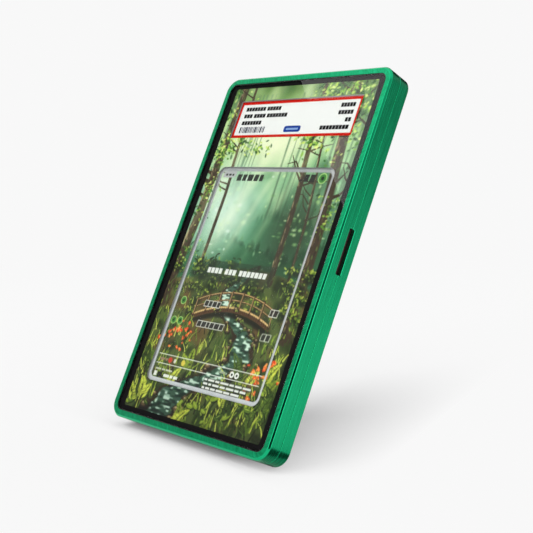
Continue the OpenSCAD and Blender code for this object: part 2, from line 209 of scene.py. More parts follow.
brush = {"stretch": 20.0, "fine": 9.0, "coarse": 0.22, "fineShare": 0.7}
worn = {"size": 0.08, "low": 0.42, "high": 0.68}


# Brush marks: two noises stretched along x of the given vector, a fine and a coarse one
def makeBrushGroup():
    inputs = [("Vector", "Vector", None), ("Stretch", "Float", brush["stretch"]),
              ("Fine", "Float", brush["fine"])]
    group, t, given, out = newGroup("brushMarks", inputs, ("Height", "Tone"))
    squeeze = t.add("CombineXYZ", {0: t.math("DIVIDE", 1.0, given["Stretch"]), 1: 1.0, 2: 1.0}).outputs[0]
    vector = t.add("VectorMath", {0: given["Vector"], 1: squeeze}, operation="MULTIPLY").outputs[0]
    fine = t.noise(vector, given["Fine"], 4.0, 0.6)
    coarse = t.noise(vector, t.math("MULTIPLY", given["Fine"], brush["coarse"]), 2.0)
    share = brush["fineShare"]
    t.link(t.math("ADD", t.math("MULTIPLY", fine, share), t.math("MULTIPLY", coarse, 1 - share)), out[0])
    t.link(t.spread(fine, 0.3, 0.7, 0.0, 1.0), out[1])
    return group


# Dust and handling: soft blotches that make a surface a little rougher here and there
def makeWearGroup():
    inputs = [("Vector", "Vector", None), ("Size", "Float", worn["size"])]
    group, t, given, out = newGroup("handling", inputs, ("Mask",))
    blotch = t.noise(given["Vector"], given["Size"], 5.0, 0.65)
    t.link(t.spread(blotch, worn["low"], worn["high"], 0.0, 1.0), out[0])
    return group


brushMarks = makeBrushGroup()
handling = makeWearGroup()


# A new material with a Principled shader; returns the material, its tree and the shader
def newMaterial(name, base, **sockets):
    material = bpy.data.materials.new(name)
    t = emptyTree(material)
    shader = t.add("BsdfPrincipled", {"Base Color": base})
    for key, value in sockets.items():
        shader.inputs[key.replace("_", " ")].default_value = value
    t.out = t.add("OutputMaterial", {0: shader.outputs[0]})
    material.diffuse_color = base
    return material, t, shader


# Object coordinates turned and moved into the case's own millimetres
def casePlace(t):
    return t.add("Mapping", {"Vector": t.add("TexCoord").outputs["Object"],
                             "Location": tuple(-caseAxes @ origin / mm),
                             "Rotation": (lean - math.pi / 2, 0, 0),
                             "Scale": (1 / mm, 1 / mm, 1 / mm)}).outputs[0]


greenMetal = {"base": (0.0135, 0.485, 0.212), "dark": (0.007, 0.33, 0.135), "cast": (0.28, 0.28, 0.28, 1),
              "edge": 0.13, "span": 0.04, "wear": 0.05, "relief": 0.03}


# Green anodised aluminium, brushed along the first coordinate of the piece's UV map or of the case
def makeGreen(name, rough, bump, useUv=True, stretch=22.0, fine=7.0, turn=0.0, contrast=1.0):
    g = greenMetal
    base = g["base"] + (1.0,)
    material, t, shader = newMaterial(name, base, Metallic=1.0, Roughness=rough)
    place = t.add("UVMap", uv_map="sweep").outputs[0] if useUv else casePlace(t)
    if turn:
        place = t.add("Mapping", {"Vector": place, "Rotation": (0, 0, turn)}).outputs[0]
    height, tone = t.group(brushMarks, place, stretch, fine)
    wear = t.group(handling, casePlace(t))[0]
    dark = tuple(a + (b - a) * contrast for a, b in zip(g["base"], g["dark"])) + (1.0,)
    # the light it throws back on the floor is neutral, as in the photograph
    t.link(t.mix(t.rays("Diffuse"), t.mix(tone, dark, base), g["cast"]), shader.inputs["Base Color"])
    toned = t.spread(tone, 0, 1, rough - g["span"], rough + g["span"])
    t.link(t.math("ADD", toned, t.math("MULTIPLY", wear, g["wear"])), shader.inputs["Roughness"])
    t.relief(shader, height, bump, g["relief"])
    return material


greenSide = makeGreen("greenBrushedSide", 0.25, 0.6, stretch=30.0, fine=2.2)
greenRim = makeGreen("greenBrushedRim", 0.37, 0.7, stretch=9.0, fine=2.4, turn=1.05, contrast=1.75)
greenPolish = makeGreen("greenPolishedEdge", greenMetal["edge"], 0.05, stretch=30.0, contrast=0.3)
greenInside = makeGreen("greenMilledInside", 0.45, 0.3, useUv=False)
greenBack = makeGreen("greenBrushedBack", 0.38, 0.25, useUv=False, stretch=26.0, fine=5.0)


# Bare metals: a plain colour under fine turned or brushed marks
def makeBare(name, base, rough, stretch, fine, bump):
    material, t, shader = newMaterial(name, base, Metallic=1.0, Roughness=rough)
    height, tone = t.group(brushMarks, casePlace(t), stretch, fine)
    t.link(t.spread(tone, 0, 1, rough * 0.75, rough * 1.3), shader.inputs["Roughness"])
    t.link(t.mix(tone, shaded(base, 0.86), base), shader.inputs["Base Color"])
    t.relief(shader, height, bump, 0.02)
    return material


steelBright = makeBare("steelBright", (0.60, 0.60, 0.59, 1), 0.24, 8.0, 12.0, 0.2)
nickelMagnet = makeBare("nickelMagnet", (0.66, 0.64, 0.60, 1), 0.16, 1.5, 5.0, 0.15)


# Matt surfaces: colour and roughness vary with a fine grain and with soft blotches
def makeMatt(name, base, rough, grain, bump, vary=0.15, **sockets):
    material, t, shader = newMaterial(name, base, Roughness=rough, **sockets)
    place = casePlace(t)
    wear = t.group(handling, place)[0]
    fine = t.noise(place, grain, 4.0, 0.6)
    tone = t.mix(t.spread(fine, 0.3, 0.7, 0, 1), shaded(base, 1 - vary), shaded(base, 1 + vary))
    t.link(tone, shader.inputs["Base Color"])
    t.link(t.spread(wear, 0, 1, rough - 0.03, rough + 0.05), shader.inputs["Roughness"])
    t.relief(shader, fine, bump, 0.05)
    return material


blackFilm = makeMatt("blackBorderFilm", colour(25, 24, 25), 0.6, 14.0, 0.05, Specular_IOR_Level=0.0)
blackGlue = makeMatt("blackGlueBead", (0.006, 0.006, 0.006, 1), 0.28, 3.0, 0.3)
creamTape = makeMatt("creamTape", (0.62, 0.60, 0.52, 1), 0.6, 6.0, 0.3)
trayPlastic = makeMatt("frostedTray", (0.80, 0.82, 0.83, 1), 0.35, 1.2, 0.1, vary=0.03)
foamLiner = makeMatt("foamLiner", (0.014, 0.014, 0.016, 1), 0.9, 3.5, 1.0, vary=0.5)
blackBlock = makeMatt("blackBlock", (0.017, 0.018, 0.018, 1), 0.34, 9.0, 0.4)
footRubber = makeMatt("footRubber", (0.012, 0.012, 0.012, 1), 0.72, 5.0, 0.8, vary=0.3)
# Painted shade: a reddish brown for the floor and deep walls of the pry slot, and a dark green for its shallow
# walls and for the round pockets
shadeDeepSlot = makeMatt("paintedShadeDeepSlot", (0.045, 0.017, 0.014, 1), 0.5, 3.0, 0.2, vary=0.4)
shadeRecess = makeMatt("paintedShadeRecess", (0.003, 0.050, 0.022, 1), 0.5, 3.0, 0.2, vary=0.4)


# Clear plastic: glass for what is seen, and plainly see-through for shadow and diffuse rays
def makeClear(name, tint, rough, scratch, gloss=1.0):
    material, t, shader = newMaterial(name, tint, Roughness=rough, IOR=1.49, Transmission_Weight=1.0)
    shader.inputs["Specular Tint"].default_value = (gloss, gloss, gloss, 1)
    wear = t.group(handling, casePlace(t))[0]
    t.link(t.spread(wear, 0, 1, rough, rough + scratch), shader.inputs["Roughness"])
    either = t.rays("Shadow", "Diffuse")
    clear = t.add("BsdfTransparent", {0: (0.99, 0.995, 0.99, 1)}).outputs[0]
    t.link(t.add("MixShader", {0: either, 1: shader.outputs[0], 2: clear}).outputs[0], t.out.inputs[0])
    return material


clearPanel = makeClear("clearPanel", (1, 1, 1, 1), 0.0, 0.012)
clearPanelRear = makeClear("clearPanelRear", (1, 1, 1, 1), 0.0, 0.012, gloss=0.0)
clearSlab = makeClear("clearSlab", (0.99, 1.0, 0.995, 1), 0.01, 0.02, gloss=0.0)


# Printed stock: the piece's own colour attribute under a fine paper tooth, with little gloss of its own
def makePrinted(name, rough, gloss, coat=0.0):
    material, t, shader = newMaterial(name, (0.5, 0.5, 0.5, 1), Roughness=rough, Specular_IOR_Level=gloss,
                                      Coat_Weight=coat, Coat_Roughness=0.2)
    tooth = t.noise(casePlace(t), 6.0, 4.0, 0.7)
    shade = t.add("Attribute", attribute_name="print").outputs["Color"]
    grain = t.spread(tooth, 0.3, 0.7, 0.94, 1.04)
    grey = t.add("CombineColor", {0: grain, 1: grain, 2: grain}).outputs[0]
    t.link(t.mix(1.0, shade, grey, "MULTIPLY"), shader.inputs["Base Color"])
    t.relief(shader, tooth, 0.15, 0.02)
    return material


printedPicture = makePrinted("printedPicture", 0.5, 0.12)
cardStock = makePrinted("cardStock", 0.45, 0.15, 0.08)
labelPaper = makePrinted("labelPaper", 0.6, 0.03)
print("materials made")


# A mesh object from numpy rows, with an optional UV map given per face corner
def makePiece(name, points, faces, materials, inCase=True, uv=None, slots=None, smooth=True):
    mesh = bpy.data.meshes.new(name)
    mesh.from_pydata((toWorld(points) if inCase else points).tolist(), [], faces)
    if uv is not None:
        layer = mesh.uv_layers.new(name="sweep")
        layer.data.foreach_set("uv", np.asarray(uv, np.float32).ravel())
    for material in materials:
        mesh.materials.append(material)
    if slots is not None:
        mesh.polygons.foreach_set("material_index", np.asarray(slots, np.int32))
    mesh.polygons.foreach_set("use_smooth", np.full(len(mesh.polygons), smooth))
    mesh.update()
    piece = bpy.data.objects.new(name, mesh)
    scene.collection.objects.link(piece)
    return piece


# Puts a piece on its body and hides the CAD node it stands for; the slot is not used
def place(piece, body, slot, node):
    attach(piece, body)
    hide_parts(node)


# Points round a rounded rectangle, anticlockwise from the right side's lower end: four arcs of equal steps
def roundOutline(halfW, halfH, radius, steps, middle=(0.0, 0.0)):
    angles = (np.arange(4)[:, None] * 90 - 90 + np.linspace(0, 90, steps + 1)[None, :]) * math.pi / 180
    signs = np.array([[1, -1], [1, 1], [-1, 1], [-1, -1]])
    centres = signs * [halfW - radius, halfH - radius]
    points = centres[:, None, :] + radius * np.stack([np.cos(angles), np.sin(angles)], -1)
    return points.reshape(-1, 2) + middle


# The case's outline at an inset; its corner radius shrinks with the inset
def caseOutline(inset, steps, least=2.0):
    return roundOutline(halfWide - inset, middleY - inset, max(caseSize["corner"] - inset, least), steps,
                        (0, middleY))


# Distance outside a rounded rectangle, negative inside; x and y are measured from its middle
def awayFrom(x, y, halfW, halfH, r):
    qx, qy = np.abs(x) - halfW + r, np.abs(y) - halfH + r
    return np.hypot(np.maximum(qx, 0), np.maximum(qy, 0)) + np.minimum(np.maximum(qx, qy), 0) - r


# Rounds the corners of a closed polygon: each corner becomes an arc of its own radius
def roundCorners(corners, radii, steps=4):
    corners = np.asarray(corners, float)
    rounded = []
    for k, radius in enumerate(radii):
        here, before, after = corners[k], corners[k - 1], corners[(k + 1) % len(corners)]
        if radius <= 0:
            rounded.append([here])
            continue
        a, b = before - here, after - here
        a, b = a / np.linalg.norm(a), b / np.linalg.norm(b)
        half = math.acos(np.clip(a @ b, -1, 1)) / 2
        reach = radius / math.tan(half)
        centre = here + (a + b) / np.linalg.norm(a + b) * radius / math.sin(half)
        start, end = here + a * reach - centre, here + b * reach - centre
        w = np.linspace(0, math.atan2(start[0] * end[1] - start[1] * end[0], start @ end), steps + 1)
        rounded.append(centre + np.stack([start[0] * np.cos(w) - start[1] * np.sin(w),
                                          start[0] * np.sin(w) + start[1] * np.cos(w)], -1))
    return np.concatenate(rounded)


# A wall profile of (inset, depth) carried round the case: point (i, j) is outline point i at profile point j,
# and the UV map is (millimetres along the outline, millimetres along the profile). Also gives each face's j.
def sweepRing(profile, steps=20):
    rings = [caseOutline(inset, steps) for inset, depth in profile]
    count, width = len(rings[0]), len(profile)
    points = np.stack([np.column_stack([ring, np.full(count, -depth)]) for ring, (inset, depth) in
                       zip(rings, profile)], 1)
    around = np.append(0, np.cumsum(np.linalg.norm(np.roll(rings[0], -1, 0) - rings[0], axis=1)))
    across = np.append(0, np.cumsum(np.linalg.norm(np.roll(profile, -1, 0) - profile, axis=1)))
    i, j = [a.ravel() for a in np.meshgrid(np.arange(count), np.arange(width), indexing="ij")]
    nextI, nextJ = (i + 1) % count, (j + 1) % width
    faces = np.column_stack([i * width + j, nextI * width + j, nextI * width + nextJ, i * width + nextJ])
    steps = ((0, 0), (1, 0), (1, 1), (0, 1))
    uv = np.stack([np.column_stack([around[i + di], across[j + dj]]) for di, dj in steps], 1)
    return points.reshape(-1, 3), faces.tolist(), uv.reshape(-1, 2), j


# A stack of outlines closed by a cap at each end; outlines are (points, depth), rearmost first
def stackOutlines(layers):
    count = len(layers[0][0])
    points = np.concatenate([np.column_stack([ring, np.full(count, -depth)]) for ring, depth in layers])
    k = np.arange(count)
    nextK = (k + 1) % count
    faces = [k[::-1].tolist()]
    for a in range(0, (len(layers) - 1) * count, count):
        faces += np.column_stack([a + k, a + nextK, a + count + nextK, a + count + k]).tolist()
    faces.append((k + (len(layers) - 1) * count).tolist())
    return points, faces


# Removes what the cutters fill from a piece, and bakes the result into its mesh
def cutAway(piece, cutters):
    for cutter in cutters:
        boolean = piece.modifiers.new("cut", "BOOLEAN")
        boolean.operation, boolean.solver, boolean.material_mode = "DIFFERENCE", "EXACT", "TRANSFER"
        boolean.object = cutter
    bpy.context.view_layer.update()
    graph = bpy.context.evaluated_depsgraph_get()
    mesh = bpy.data.meshes.new_from_object(piece.evaluated_get(graph), preserve_all_data_layers=True,
                                           depsgraph=graph)
    spent = [piece.data] + [cutter.data for cutter in cutters]
    piece.modifiers.clear()
    piece.data = mesh
    mesh.name = piece.name
    for cutter in cutters:
        bpy.data.objects.remove(cutter)
    for old in spent:
        bpy.data.meshes.remove(old)


# Flat faces stay flat beside small round edges
def weightNormals(piece):
    weighted = piece.modifiers.new("normals", "WEIGHTED_NORMAL")
    weighted.keep_sharp = True
    weighted.weight = 50


frames = {"wall": 3.7, "bezel": 2.65, "chamfer": 0.65, "ledge": 1.9, "frontEnd": 5.12, "rearStart": 5.18,
          "partingEdge": 0.20, "rearEdge": 0.45, "chamferEdge": 0.40, "flangeIn": 7.7, "flangeFront": 7.6,
          "flangeBack": 8.7, "backRim": 2.2, "depth": 10.4, "skin": 0.17, "flat": 0.03, "outside": 0.3,
          "fine": 0.05, "soft": 0.08, "rimEdge": 0.06, "backEdge": 0.15, "frontPolish": 0.19,
          "rearPolish": 0.1}
slotCut = {"length": 16.8, "width": 2.6, "depth": 2.2, "mouth": 0.3, "flare": 0.12, "shade": 1.6,
           "corner": 0.5, "middle": 75.55, "parting": 5.15, "floorEdge": 0.15}


# The pry slot's cutter: outlines with small round corners, stacked from its floor out through its shallow
# polished mouth. The last number of each row is the material of the band that ends there: 0 is painted shade,
# reddish brown, on the floor and deep walls, 1 is painted shade, dark green, on the shallow walls, and 2 is
# the polished metal of the mouth.
def slotCutter():
    s = slotCut
    edge, mouth, flare = s["floorEdge"], s["mouth"], s["flare"]
    rows = [(-s["depth"], -edge, 0), (-s["depth"] + edge, 0.0, 0), (-s["shade"], 0.0, 0),
            (-flare - 0.02, 0.0, 1), (-flare + 0.01, 0.03, 2), (0.0, mouth, 2), (0.04, mouth + 0.1, 2),
            (1.0, mouth + 0.5, 2)]
    layers = [(roundOutline(s["width"] / 2 + grow, s["length"] / 2 + grow, s["corner"] + grow, 6), out)
              for out, grow, finish in rows]
    points = np.concatenate([np.column_stack([np.full(len(ring), halfWide + out), s["middle"] + ring[:, 1],
                                              -s["parting"] - ring[:, 0]]) for ring, out in layers])
    faces = stackOutlines(layers)[1]
    slots = [0] + [finish for out, grow, finish in rows[1:] for k in range(len(layers[0][0]))] + [2]
    return makePiece("slotCutter", points, faces, [shadeDeepSlot, shadeRecess, greenPolish], slots=slots)


# Round pockets for magnets, pins and screws, as one cutter mesh of closed drums whose walls are in painted
# shade
def drumCutter(name, centres, radius, front, back, sides=20):
    angles = np.arange(sides) * 2 * math.pi / sides
    ring = radius * np.column_stack([np.cos(angles), np.sin(angles)])
    points, faces = [], []
    for centre in centres:
        drum, drumFaces = stackOutlines([(ring + centre, back), (ring + centre, front)])
        start = sum(len(p) for p in points)
        points.append(drum)
        faces += [[v + start for v in face] for face in drumFaces]
    return makePiece(name, np.concatenate(points), faces, [shadeRecess])


pockets = {"magnetSide": (-52, -26, 26, 52), "magnetEnd": (-26, 26), "screwIn": 2.0, "screwSide": 22.0,
           "front": [("magnetCutter", 1.03, 3.09, 6.2), ("pinCutter", 0.81, 3.26, 6.2)],
           "rear": [("magnetCutter", 1.03, 4.2, 7.21), ("pinCutter", 0.76, 4.2, 7.71),
                    ("screwCutter", 0.83, 7.0, 9.7)]}
halfWall = frames["wall"] / 2
magnetSpots = [(s * (halfWide - halfWall), middleY + y) for s in (-1, 1) for y in pockets["magnetSide"]]
magnetSpots += [(x, middleY + s * (middleY - halfWall)) for s in (-1, 1) for x in pockets["magnetEnd"]]
pinReach = (caseSize["corner"] - halfWall) * math.cos(math.pi / 4) - caseSize["corner"]
pinSpots = [(sx * (halfWide + pinReach), middleY + sy * (middleY + pinReach))
            for sx in (-1, 1) for sy in (-1, 1)]
screwIn = frames["wall"] + pockets["screwIn"]
screwSpots = [(s * (halfWide - screwIn), y) for s in (-1, 1)
              for y in (screwIn, middleY - pockets["screwSide"], middleY + pockets["screwSide"],
                        caseSize["h"] - screwIn)]


# One half of the case from its wall profile. A band's finish follows from the middle of its profile edge:
# polished by the outer edge and the parting line, cross-brushed on the outer face, milled inside, else brushed
# along.
def makeFrame(name, body, node, corners, radii, face, parting, edge, drums):
    profile = roundCorners(corners, radii)
    points, faces, uv, column = sweepRing(profile)
    inset, depth = ((profile + np.roll(profile, -1, 0)) / 2)[column].T
    fromFace, fromParting = np.abs(depth - face), np.abs(depth - parting)
    polished = (inset + fromFace < edge) | ((inset < frames["skin"]) & (fromParting < frames["skin"]))
    rim = (fromFace < frames["flat"]) & ~polished
    inside = (inset > frames["outside"]) & ~rim & ~polished
    slots = np.where(polished, 2, np.where(rim, 1, np.where(inside, 3, 0)))
    piece = makePiece(name, points, faces, [greenSide, greenRim, greenPolish, greenInside, shadeRecess], uv=uv,
                      slots=slots)
    spots = (magnetSpots, pinSpots, screwSpots)
    # the slot and the pockets are cut with their walls in painted shade
    cutAway(piece, [slotCutter()] + [drumCutter(drum[0], at, *drum[1:]) for drum, at in zip(drums, spots)])
    weightNormals(piece)
    place(piece, body, "green_aluminium", node)


f = frames

# Front half: rim, polished chamfer, side wall, parting edge, slab space, ledge and window rebate
makeFrame("frontFrame", "front_half", "front_frame",
          [(f["bezel"], 0), (f["bezel"], f["ledge"]), (f["wall"], f["ledge"]), (f["wall"], f["frontEnd"]),
           (0, f["frontEnd"]), (0, f["chamfer"]), (f["chamfer"], 0)],
          [f["fine"], 0, f["fine"], f["soft"], f["partingEdge"], f["chamferEdge"], f["chamferEdge"]],
          0, f["frontEnd"], f["chamfer"] + f["frontPolish"], pockets["front"])

# Rear half: side wall, rim round the back panel, and the flange that the panel is screwed to
makeFrame("rearFrame", "rear_half", "rear_frame",
          [(0, f["rearStart"]), (f["wall"], f["rearStart"]), (f["wall"], f["flangeFront"]),
           (f["flangeIn"], f["flangeFront"]), (f["flangeIn"], f["flangeBack"]),
           (f["backRim"], f["flangeBack"]), (f["backRim"], f["depth"]), (f["rearEdge"], f["depth"]),
           (0, f["depth"] - f["rearEdge"])],
          [f["partingEdge"], f["soft"], 0, f["soft"], f["soft"], 0, f["rimEdge"], f["backEdge"],
           f["backEdge"]],
          f["depth"], f["rearStart"], f["rearEdge"] + f["rearPolish"], pockets["rear"])
print("frames made")

window = {"inset": 2.97, "front": 0.155, "back": 1.67, "edge": 0.1}


# The clear panel: a round-cornered plate with small rounded edges, bonded to the black border film behind it
def makeWindow():
    back, front, edge = window["back"], window["front"], window["edge"]
    w = np.linspace(0, math.pi / 2, 4)
    steps = [(edge * (1 - math.sin(a)), back - edge * (1 - math.cos(a))) for a in w]
    steps += [(edge * (1 - math.cos(a)), front + edge * (1 - math.sin(a))) for a in w]
    points, faces = stackOutlines([(caseOutline(window["inset"] + inset, 16), depth)
                                   for inset, depth in steps])
    # the rear face has no gloss of its own, and black glue wets the edge up to its front rounding
    slots = np.where(np.arange(len(faces)) < 1 + 4 * len(faces[0]), 2, 0)
    slots[0] = 1
    piece = makePiece("windowPanel", points, faces, [clearPanel, clearPanelRear, blackGlue], slots=slots)
    weightNormals(piece)
    place(piece, "front_half", "clear_acrylic", "window_panel")


makeWindow()
slab = {"w": 81.0, "h": 136.0, "r": 3.0, "front": 1.95, "back": 7.25, "faceT": 0.8, "floorT": 1.2,
        "split": 4.6, "weld": 0.03, "rim": 2.4, "inner": 1.5, "edge": 0.25, "inEdge": 0.12, "rimEdge": 0.06}


# An outline of the slab at each (inset, depth), for a corner of the given radius at the first inset
def slabOutlines(steps, start, radius):
    return [(roundOutline(slab["w"] / 2 - start - inset, slab["h"] / 2 - start - inset, radius - inset, 12,
                          (0, middleY)), depth) for inset, depth in steps]


# The two clear shells of the slab, welded along their rims: each is one closed surface that runs from its
# inside floor over the rim to the outside face, with rounded edges at the floor, the rim and the face
def makeSlabShells():
    s = slab
    for name, node, floor, face, side in (
            ("slabFrontShell", "slab_front_shell", s["front"] + s["faceT"], s["front"], -1),
            ("slabRearShell", "slab_rear_shell", s["back"] - s["floorT"], s["back"], 1)):
        rim = s["split"] + side * s["weld"] / 2
        inside = [(s["inEdge"] * (1 - math.sin(a)), floor - side * s["inEdge"] * (1 - math.cos(a)))
                  for a in np.linspace(0, math.pi / 2, 3)] + [(0.0, rim)]
        outside = [(s["rimEdge"], rim), (0.0, rim + side * s["rimEdge"])]
        outside += [(s["edge"] * (1 - math.cos(a)), face - side * s["edge"] * (1 - math.sin(a)))
                    for a in np.linspace(0, math.pi / 2, 5)]
        layers = slabOutlines(inside, s["rim"], s["inner"]) + slabOutlines(outside, 0, s["r"])
        points, faces = stackOutlines(layers[::-side])
        piece = makePiece(name, points, faces, [clearSlab])
        weightNormals(piece)
        place(piece, "slab", "clear_slab", node)


makeSlabShells()
print("clear pieces made")

art = {"low": (-42.0, 3.0), "high": (42.0, 141.0), "perMm": 8, "seed": 7,
       "brookY": (3, 15, 23, 31, 39, 46, 54, 60, 68), "brookX": (-20, -12, 4, 16, 13, 2, -5, 4, 10),
       "halfY": (3, 20, 40, 60, 65, 68), "half": (9.0, 7.2, 4.6, 1.9, 0.7, -4.0)}


class Canvas:
    # A painted surface in case millimetres: rows of colour, mixed in display values. Dabs and bars give their
    # heights from its middle line.
    def __init__(self, low, high, perMm, middle=0.0):
        self.low, self.perMm, self.middle = np.array(low, float), perMm, middle
        cols, rows = (np.ceil((np.array(high) - self.low) * perMm)).astype(int)
        self.paint = np.zeros((rows, cols, 3))
        self.y, self.x = np.mgrid[0:rows, 0:cols] / perMm + 0.5 / perMm
        self.x += low[0]
        self.y += low[1]

    # Mixes a colour in where a mask says so
    def wash(self, mask, rgb, strength=1.0, area=slice(None)):
        share = np.clip(mask, 0, 1)[..., None] * strength
        self.paint[area] += (np.array(rgb, float) / 255 - self.paint[area]) * share

    # One brush dab: an ellipse that fades out over its edge, on the part of the canvas within its reach
    def dab(self, spot, size, turn, rgb, strength=1.0, soft=0.4):
        spot = np.add(spot, (0, self.middle))
        reach, limit = max(size) + 0.3, self.paint.shape[1::-1]
        lo = np.clip(np.floor((spot - reach - self.low) * self.perMm).astype(int), 0, limit)
        hi = np.clip(np.ceil((spot + reach - self.low) * self.perMm).astype(int) + 1, 0, limit)
        area = slice(lo[1], hi[1]), slice(lo[0], hi[0])
        dx, dy = self.x[area] - spot[0], self.y[area] - spot[1]
        c, s = math.cos(turn), math.sin(turn)
        r = np.hypot((dx * c + dy * s) / size[0], (dy * c - dx * s) / size[1])
        self.wash((1 - r) / soft, rgb, strength, area)

    # A tapered stroke through points: overlapping dabs from one width to another
    def stroke(self, points, widths, rgb, strength=1.0, soft=0.4):
        points = np.asarray(points, float)
        lengths = np.append(0, np.cumsum(np.linalg.norm(np.diff(points, axis=0), axis=1)))
        at = np.linspace(0, lengths[-1], max(2, int(lengths[-1] / (0.45 * max(min(widths), 0.12)))))
        px, py = np.interp(at, lengths, points[:, 0]), np.interp(at, lengths, points[:, 1])
        for x, y, wide in zip(px, py, np.interp(at, [0, lengths[-1]], widths)):
            self.dab((x, y), (wide, wide), 0, rgb, strength, soft)

    # A filled bar with rounded corners, leaning to the right by the slant
    def bar(self, low, high, rgb, strength=1.0, radius=0.0, slant=0.0):
        (cx, cy), half = np.add(low, high) / 2, np.subtract(high, low) / 2
        y = self.y - (cy + self.middle)
        away = awayFrom(self.x - cx - slant * y, y, *half, radius)
        self.wash(0.5 - away * self.perMm, rgb, strength)

    # The colour at points, mixed from the four nearest cells, in linear light
    def read(self, points):
        rows, cols = self.paint.shape[:2]
        u, v = ((points - self.low) * self.perMm - 0.5).T
        u, v = np.clip(u, 0, cols - 1.001), np.clip(v, 0, rows - 1.001)
        i, j = v.astype(int), u.astype(int)
        a, b = (v - i)[:, None], (u - j)[:, None]
        p = self.paint
        c = (p[i, j] * (1 - a) + p[i + 1, j] * a) * (1 - b) + (p[i, j + 1] * (1 - a) + p[i + 1, j + 1] * a) * b
        return toLinear(np.clip(c, 0, 1))


# Smooth noise on the canvas: random values on a coarse grid, mixed with a smooth step
def softNoise(rng, x, y, size):
    u, v = (x - x.min()) / size, (y - y.min()) / size
    grid = rng.random((int(v.max()) + 3, int(u.max()) + 3))
    i, j = v.astype(int), u.astype(int)
    a, b = v - i, u - j
    a, b = a * a * (3 - 2 * a), b * b * (3 - 2 * b)
    return ((grid[i, j] * (1 - a) + grid[i + 1, j] * a) * (1 - b)
            + (grid[i, j + 1] * (1 - a) + grid[i + 1, j + 1] * a) * b)


# A cloud of leaf dabs round a spot: each leaf's colour is drawn from a list
def leaves(c, rng, spot, spread, count, size, palette, strength=0.9, tilt=0.0):
    for k in range(count):
        at = np.array(spot) + rng.normal(0, 1, 2) * spread
        s = size * rng.uniform(0.6, 1.4)
        c.dab(at, (s, s * rng.uniform(0.35, 0.6)), tilt + rng.normal(0, 0.8),
              palette[rng.integers(len(palette))], strength * rng.uniform(0.6, 1.0), 0.45)


# Blotches of light round a spot, between two widths and two heights
def blotches(c, rng, spot, spread, count, wide, tall, palette, strength):
    for k in range(count):
        c.dab((spot[0] + rng.normal(0, spread[0]), spot[1] + rng.normal(0, spread[1])),
              (rng.uniform(*wide), rng.uniform(*tall)), 0, palette[rng.integers(3)], strength, 0.8)


# A trunk: dark bark with long streaks, lit on the side towards the sun and mossy on the other
def paintTrunk(c, rng, foot, top, w, bark, lit, moss):
    bend = np.array([foot, foot * 0.6 + top * 0.4 + (1.2, 0), top])
    c.stroke(bend, (w, w * 0.66), bark, 0.95, 0.25)
    for k in range(int(46 * w)):
        t, across = rng.random(), rng.uniform(-0.88, 0.8)
        spotY = foot[1] + (top[1] - foot[1]) * t
        spot = (np.interp(spotY, bend[:, 1], bend[:, 0]) + across * w * (1 - 0.34 * t), spotY)
        share = np.clip((0.3 - across) * rng.uniform(0.2, 1.1), 0, 1)
        tone = np.array(bark) * (1 - share) * rng.uniform(0.7, 1.3) + np.array(lit) * share
        if across > 0.2 and rng.random() < 0.3:
            tone = moss
        c.dab(spot, (0.14 + 0.1 * w, rng.uniform(0.8, 2.6)), rng.normal(0, 0.06), tone, 0.8, 0.6)


# A small plank bridge on a low arch, with posts and two rails
def paintBridge(c, middleX, deckY, half, rise):
    xs = np.linspace(middleX - half, middleX + half, 15)
    arch = np.column_stack([xs, deckY + rise * (1 - ((xs - middleX) / half) ** 2)])
    c.stroke(arch - (0, 2.0), (1.7, 1.7), (26, 26, 18), 0.7, 0.9)
    c.stroke(arch, (1.25, 1.25), (84, 60, 38), 1.0, 0.25)
    c.stroke(arch + (0, 0.75), (0.42, 0.42), (204, 172, 118), 0.95, 0.5)
    for px in np.arange(middleX - half, middleX + half, 1.15):
        c.dab((px, np.interp(px, *arch.T)), (0.13, 1.15), 0, (40, 28, 18), 0.85, 0.5)
    for up, wide in ((3.5, 0.34), (6.3, 0.5)):
        c.stroke(arch + (0, up), (wide, wide), (70, 50, 32), 1.0, 0.3)
        c.stroke(arch + (-0.05, up + wide * 0.4), (wide * 0.4, wide * 0.4), (196, 162, 112), 0.9, 0.6)
    for at in arch[::2]:
        c.stroke([at, at + (0, 7.0)], (0.55, 0.5), (62, 44, 30), 1.0, 0.3)
        c.stroke([at + (-0.2, 0.6), at + (-0.2, 6.8)], (0.2, 0.18), (188, 154, 106), 0.85, 0.6)


# A fern: a curved rib with leaflets on both sides
def paintFern(c, rng, root, reach, rise, size, tone):
    for t in np.linspace(0, 1, 20):
        at = np.array(root) + (reach * t, rise * (t - 0.35 * t * t))
        leaflet = size * (1 - t) ** 0.7 + 0.25
        for side in (-1, 1):
            c.dab(at + (side * leaflet * 0.55, 0.12), (leaflet * 0.62, 0.27), side * 0.5 + reach * 0.02,
                  np.array(tone) * rng.uniform(0.75, 1.15), 0.95, 0.45)


# The brook's middle line and half width at a height
def brookAt(y):
    return np.interp(y, art["brookY"], art["brookX"]), np.interp(y, art["halfY"], art["half"])


# Whether a spot lies on the brook
def wet(x, y, spare):
    middle, half = brookAt(y)
    return abs(x - middle) < half + spare


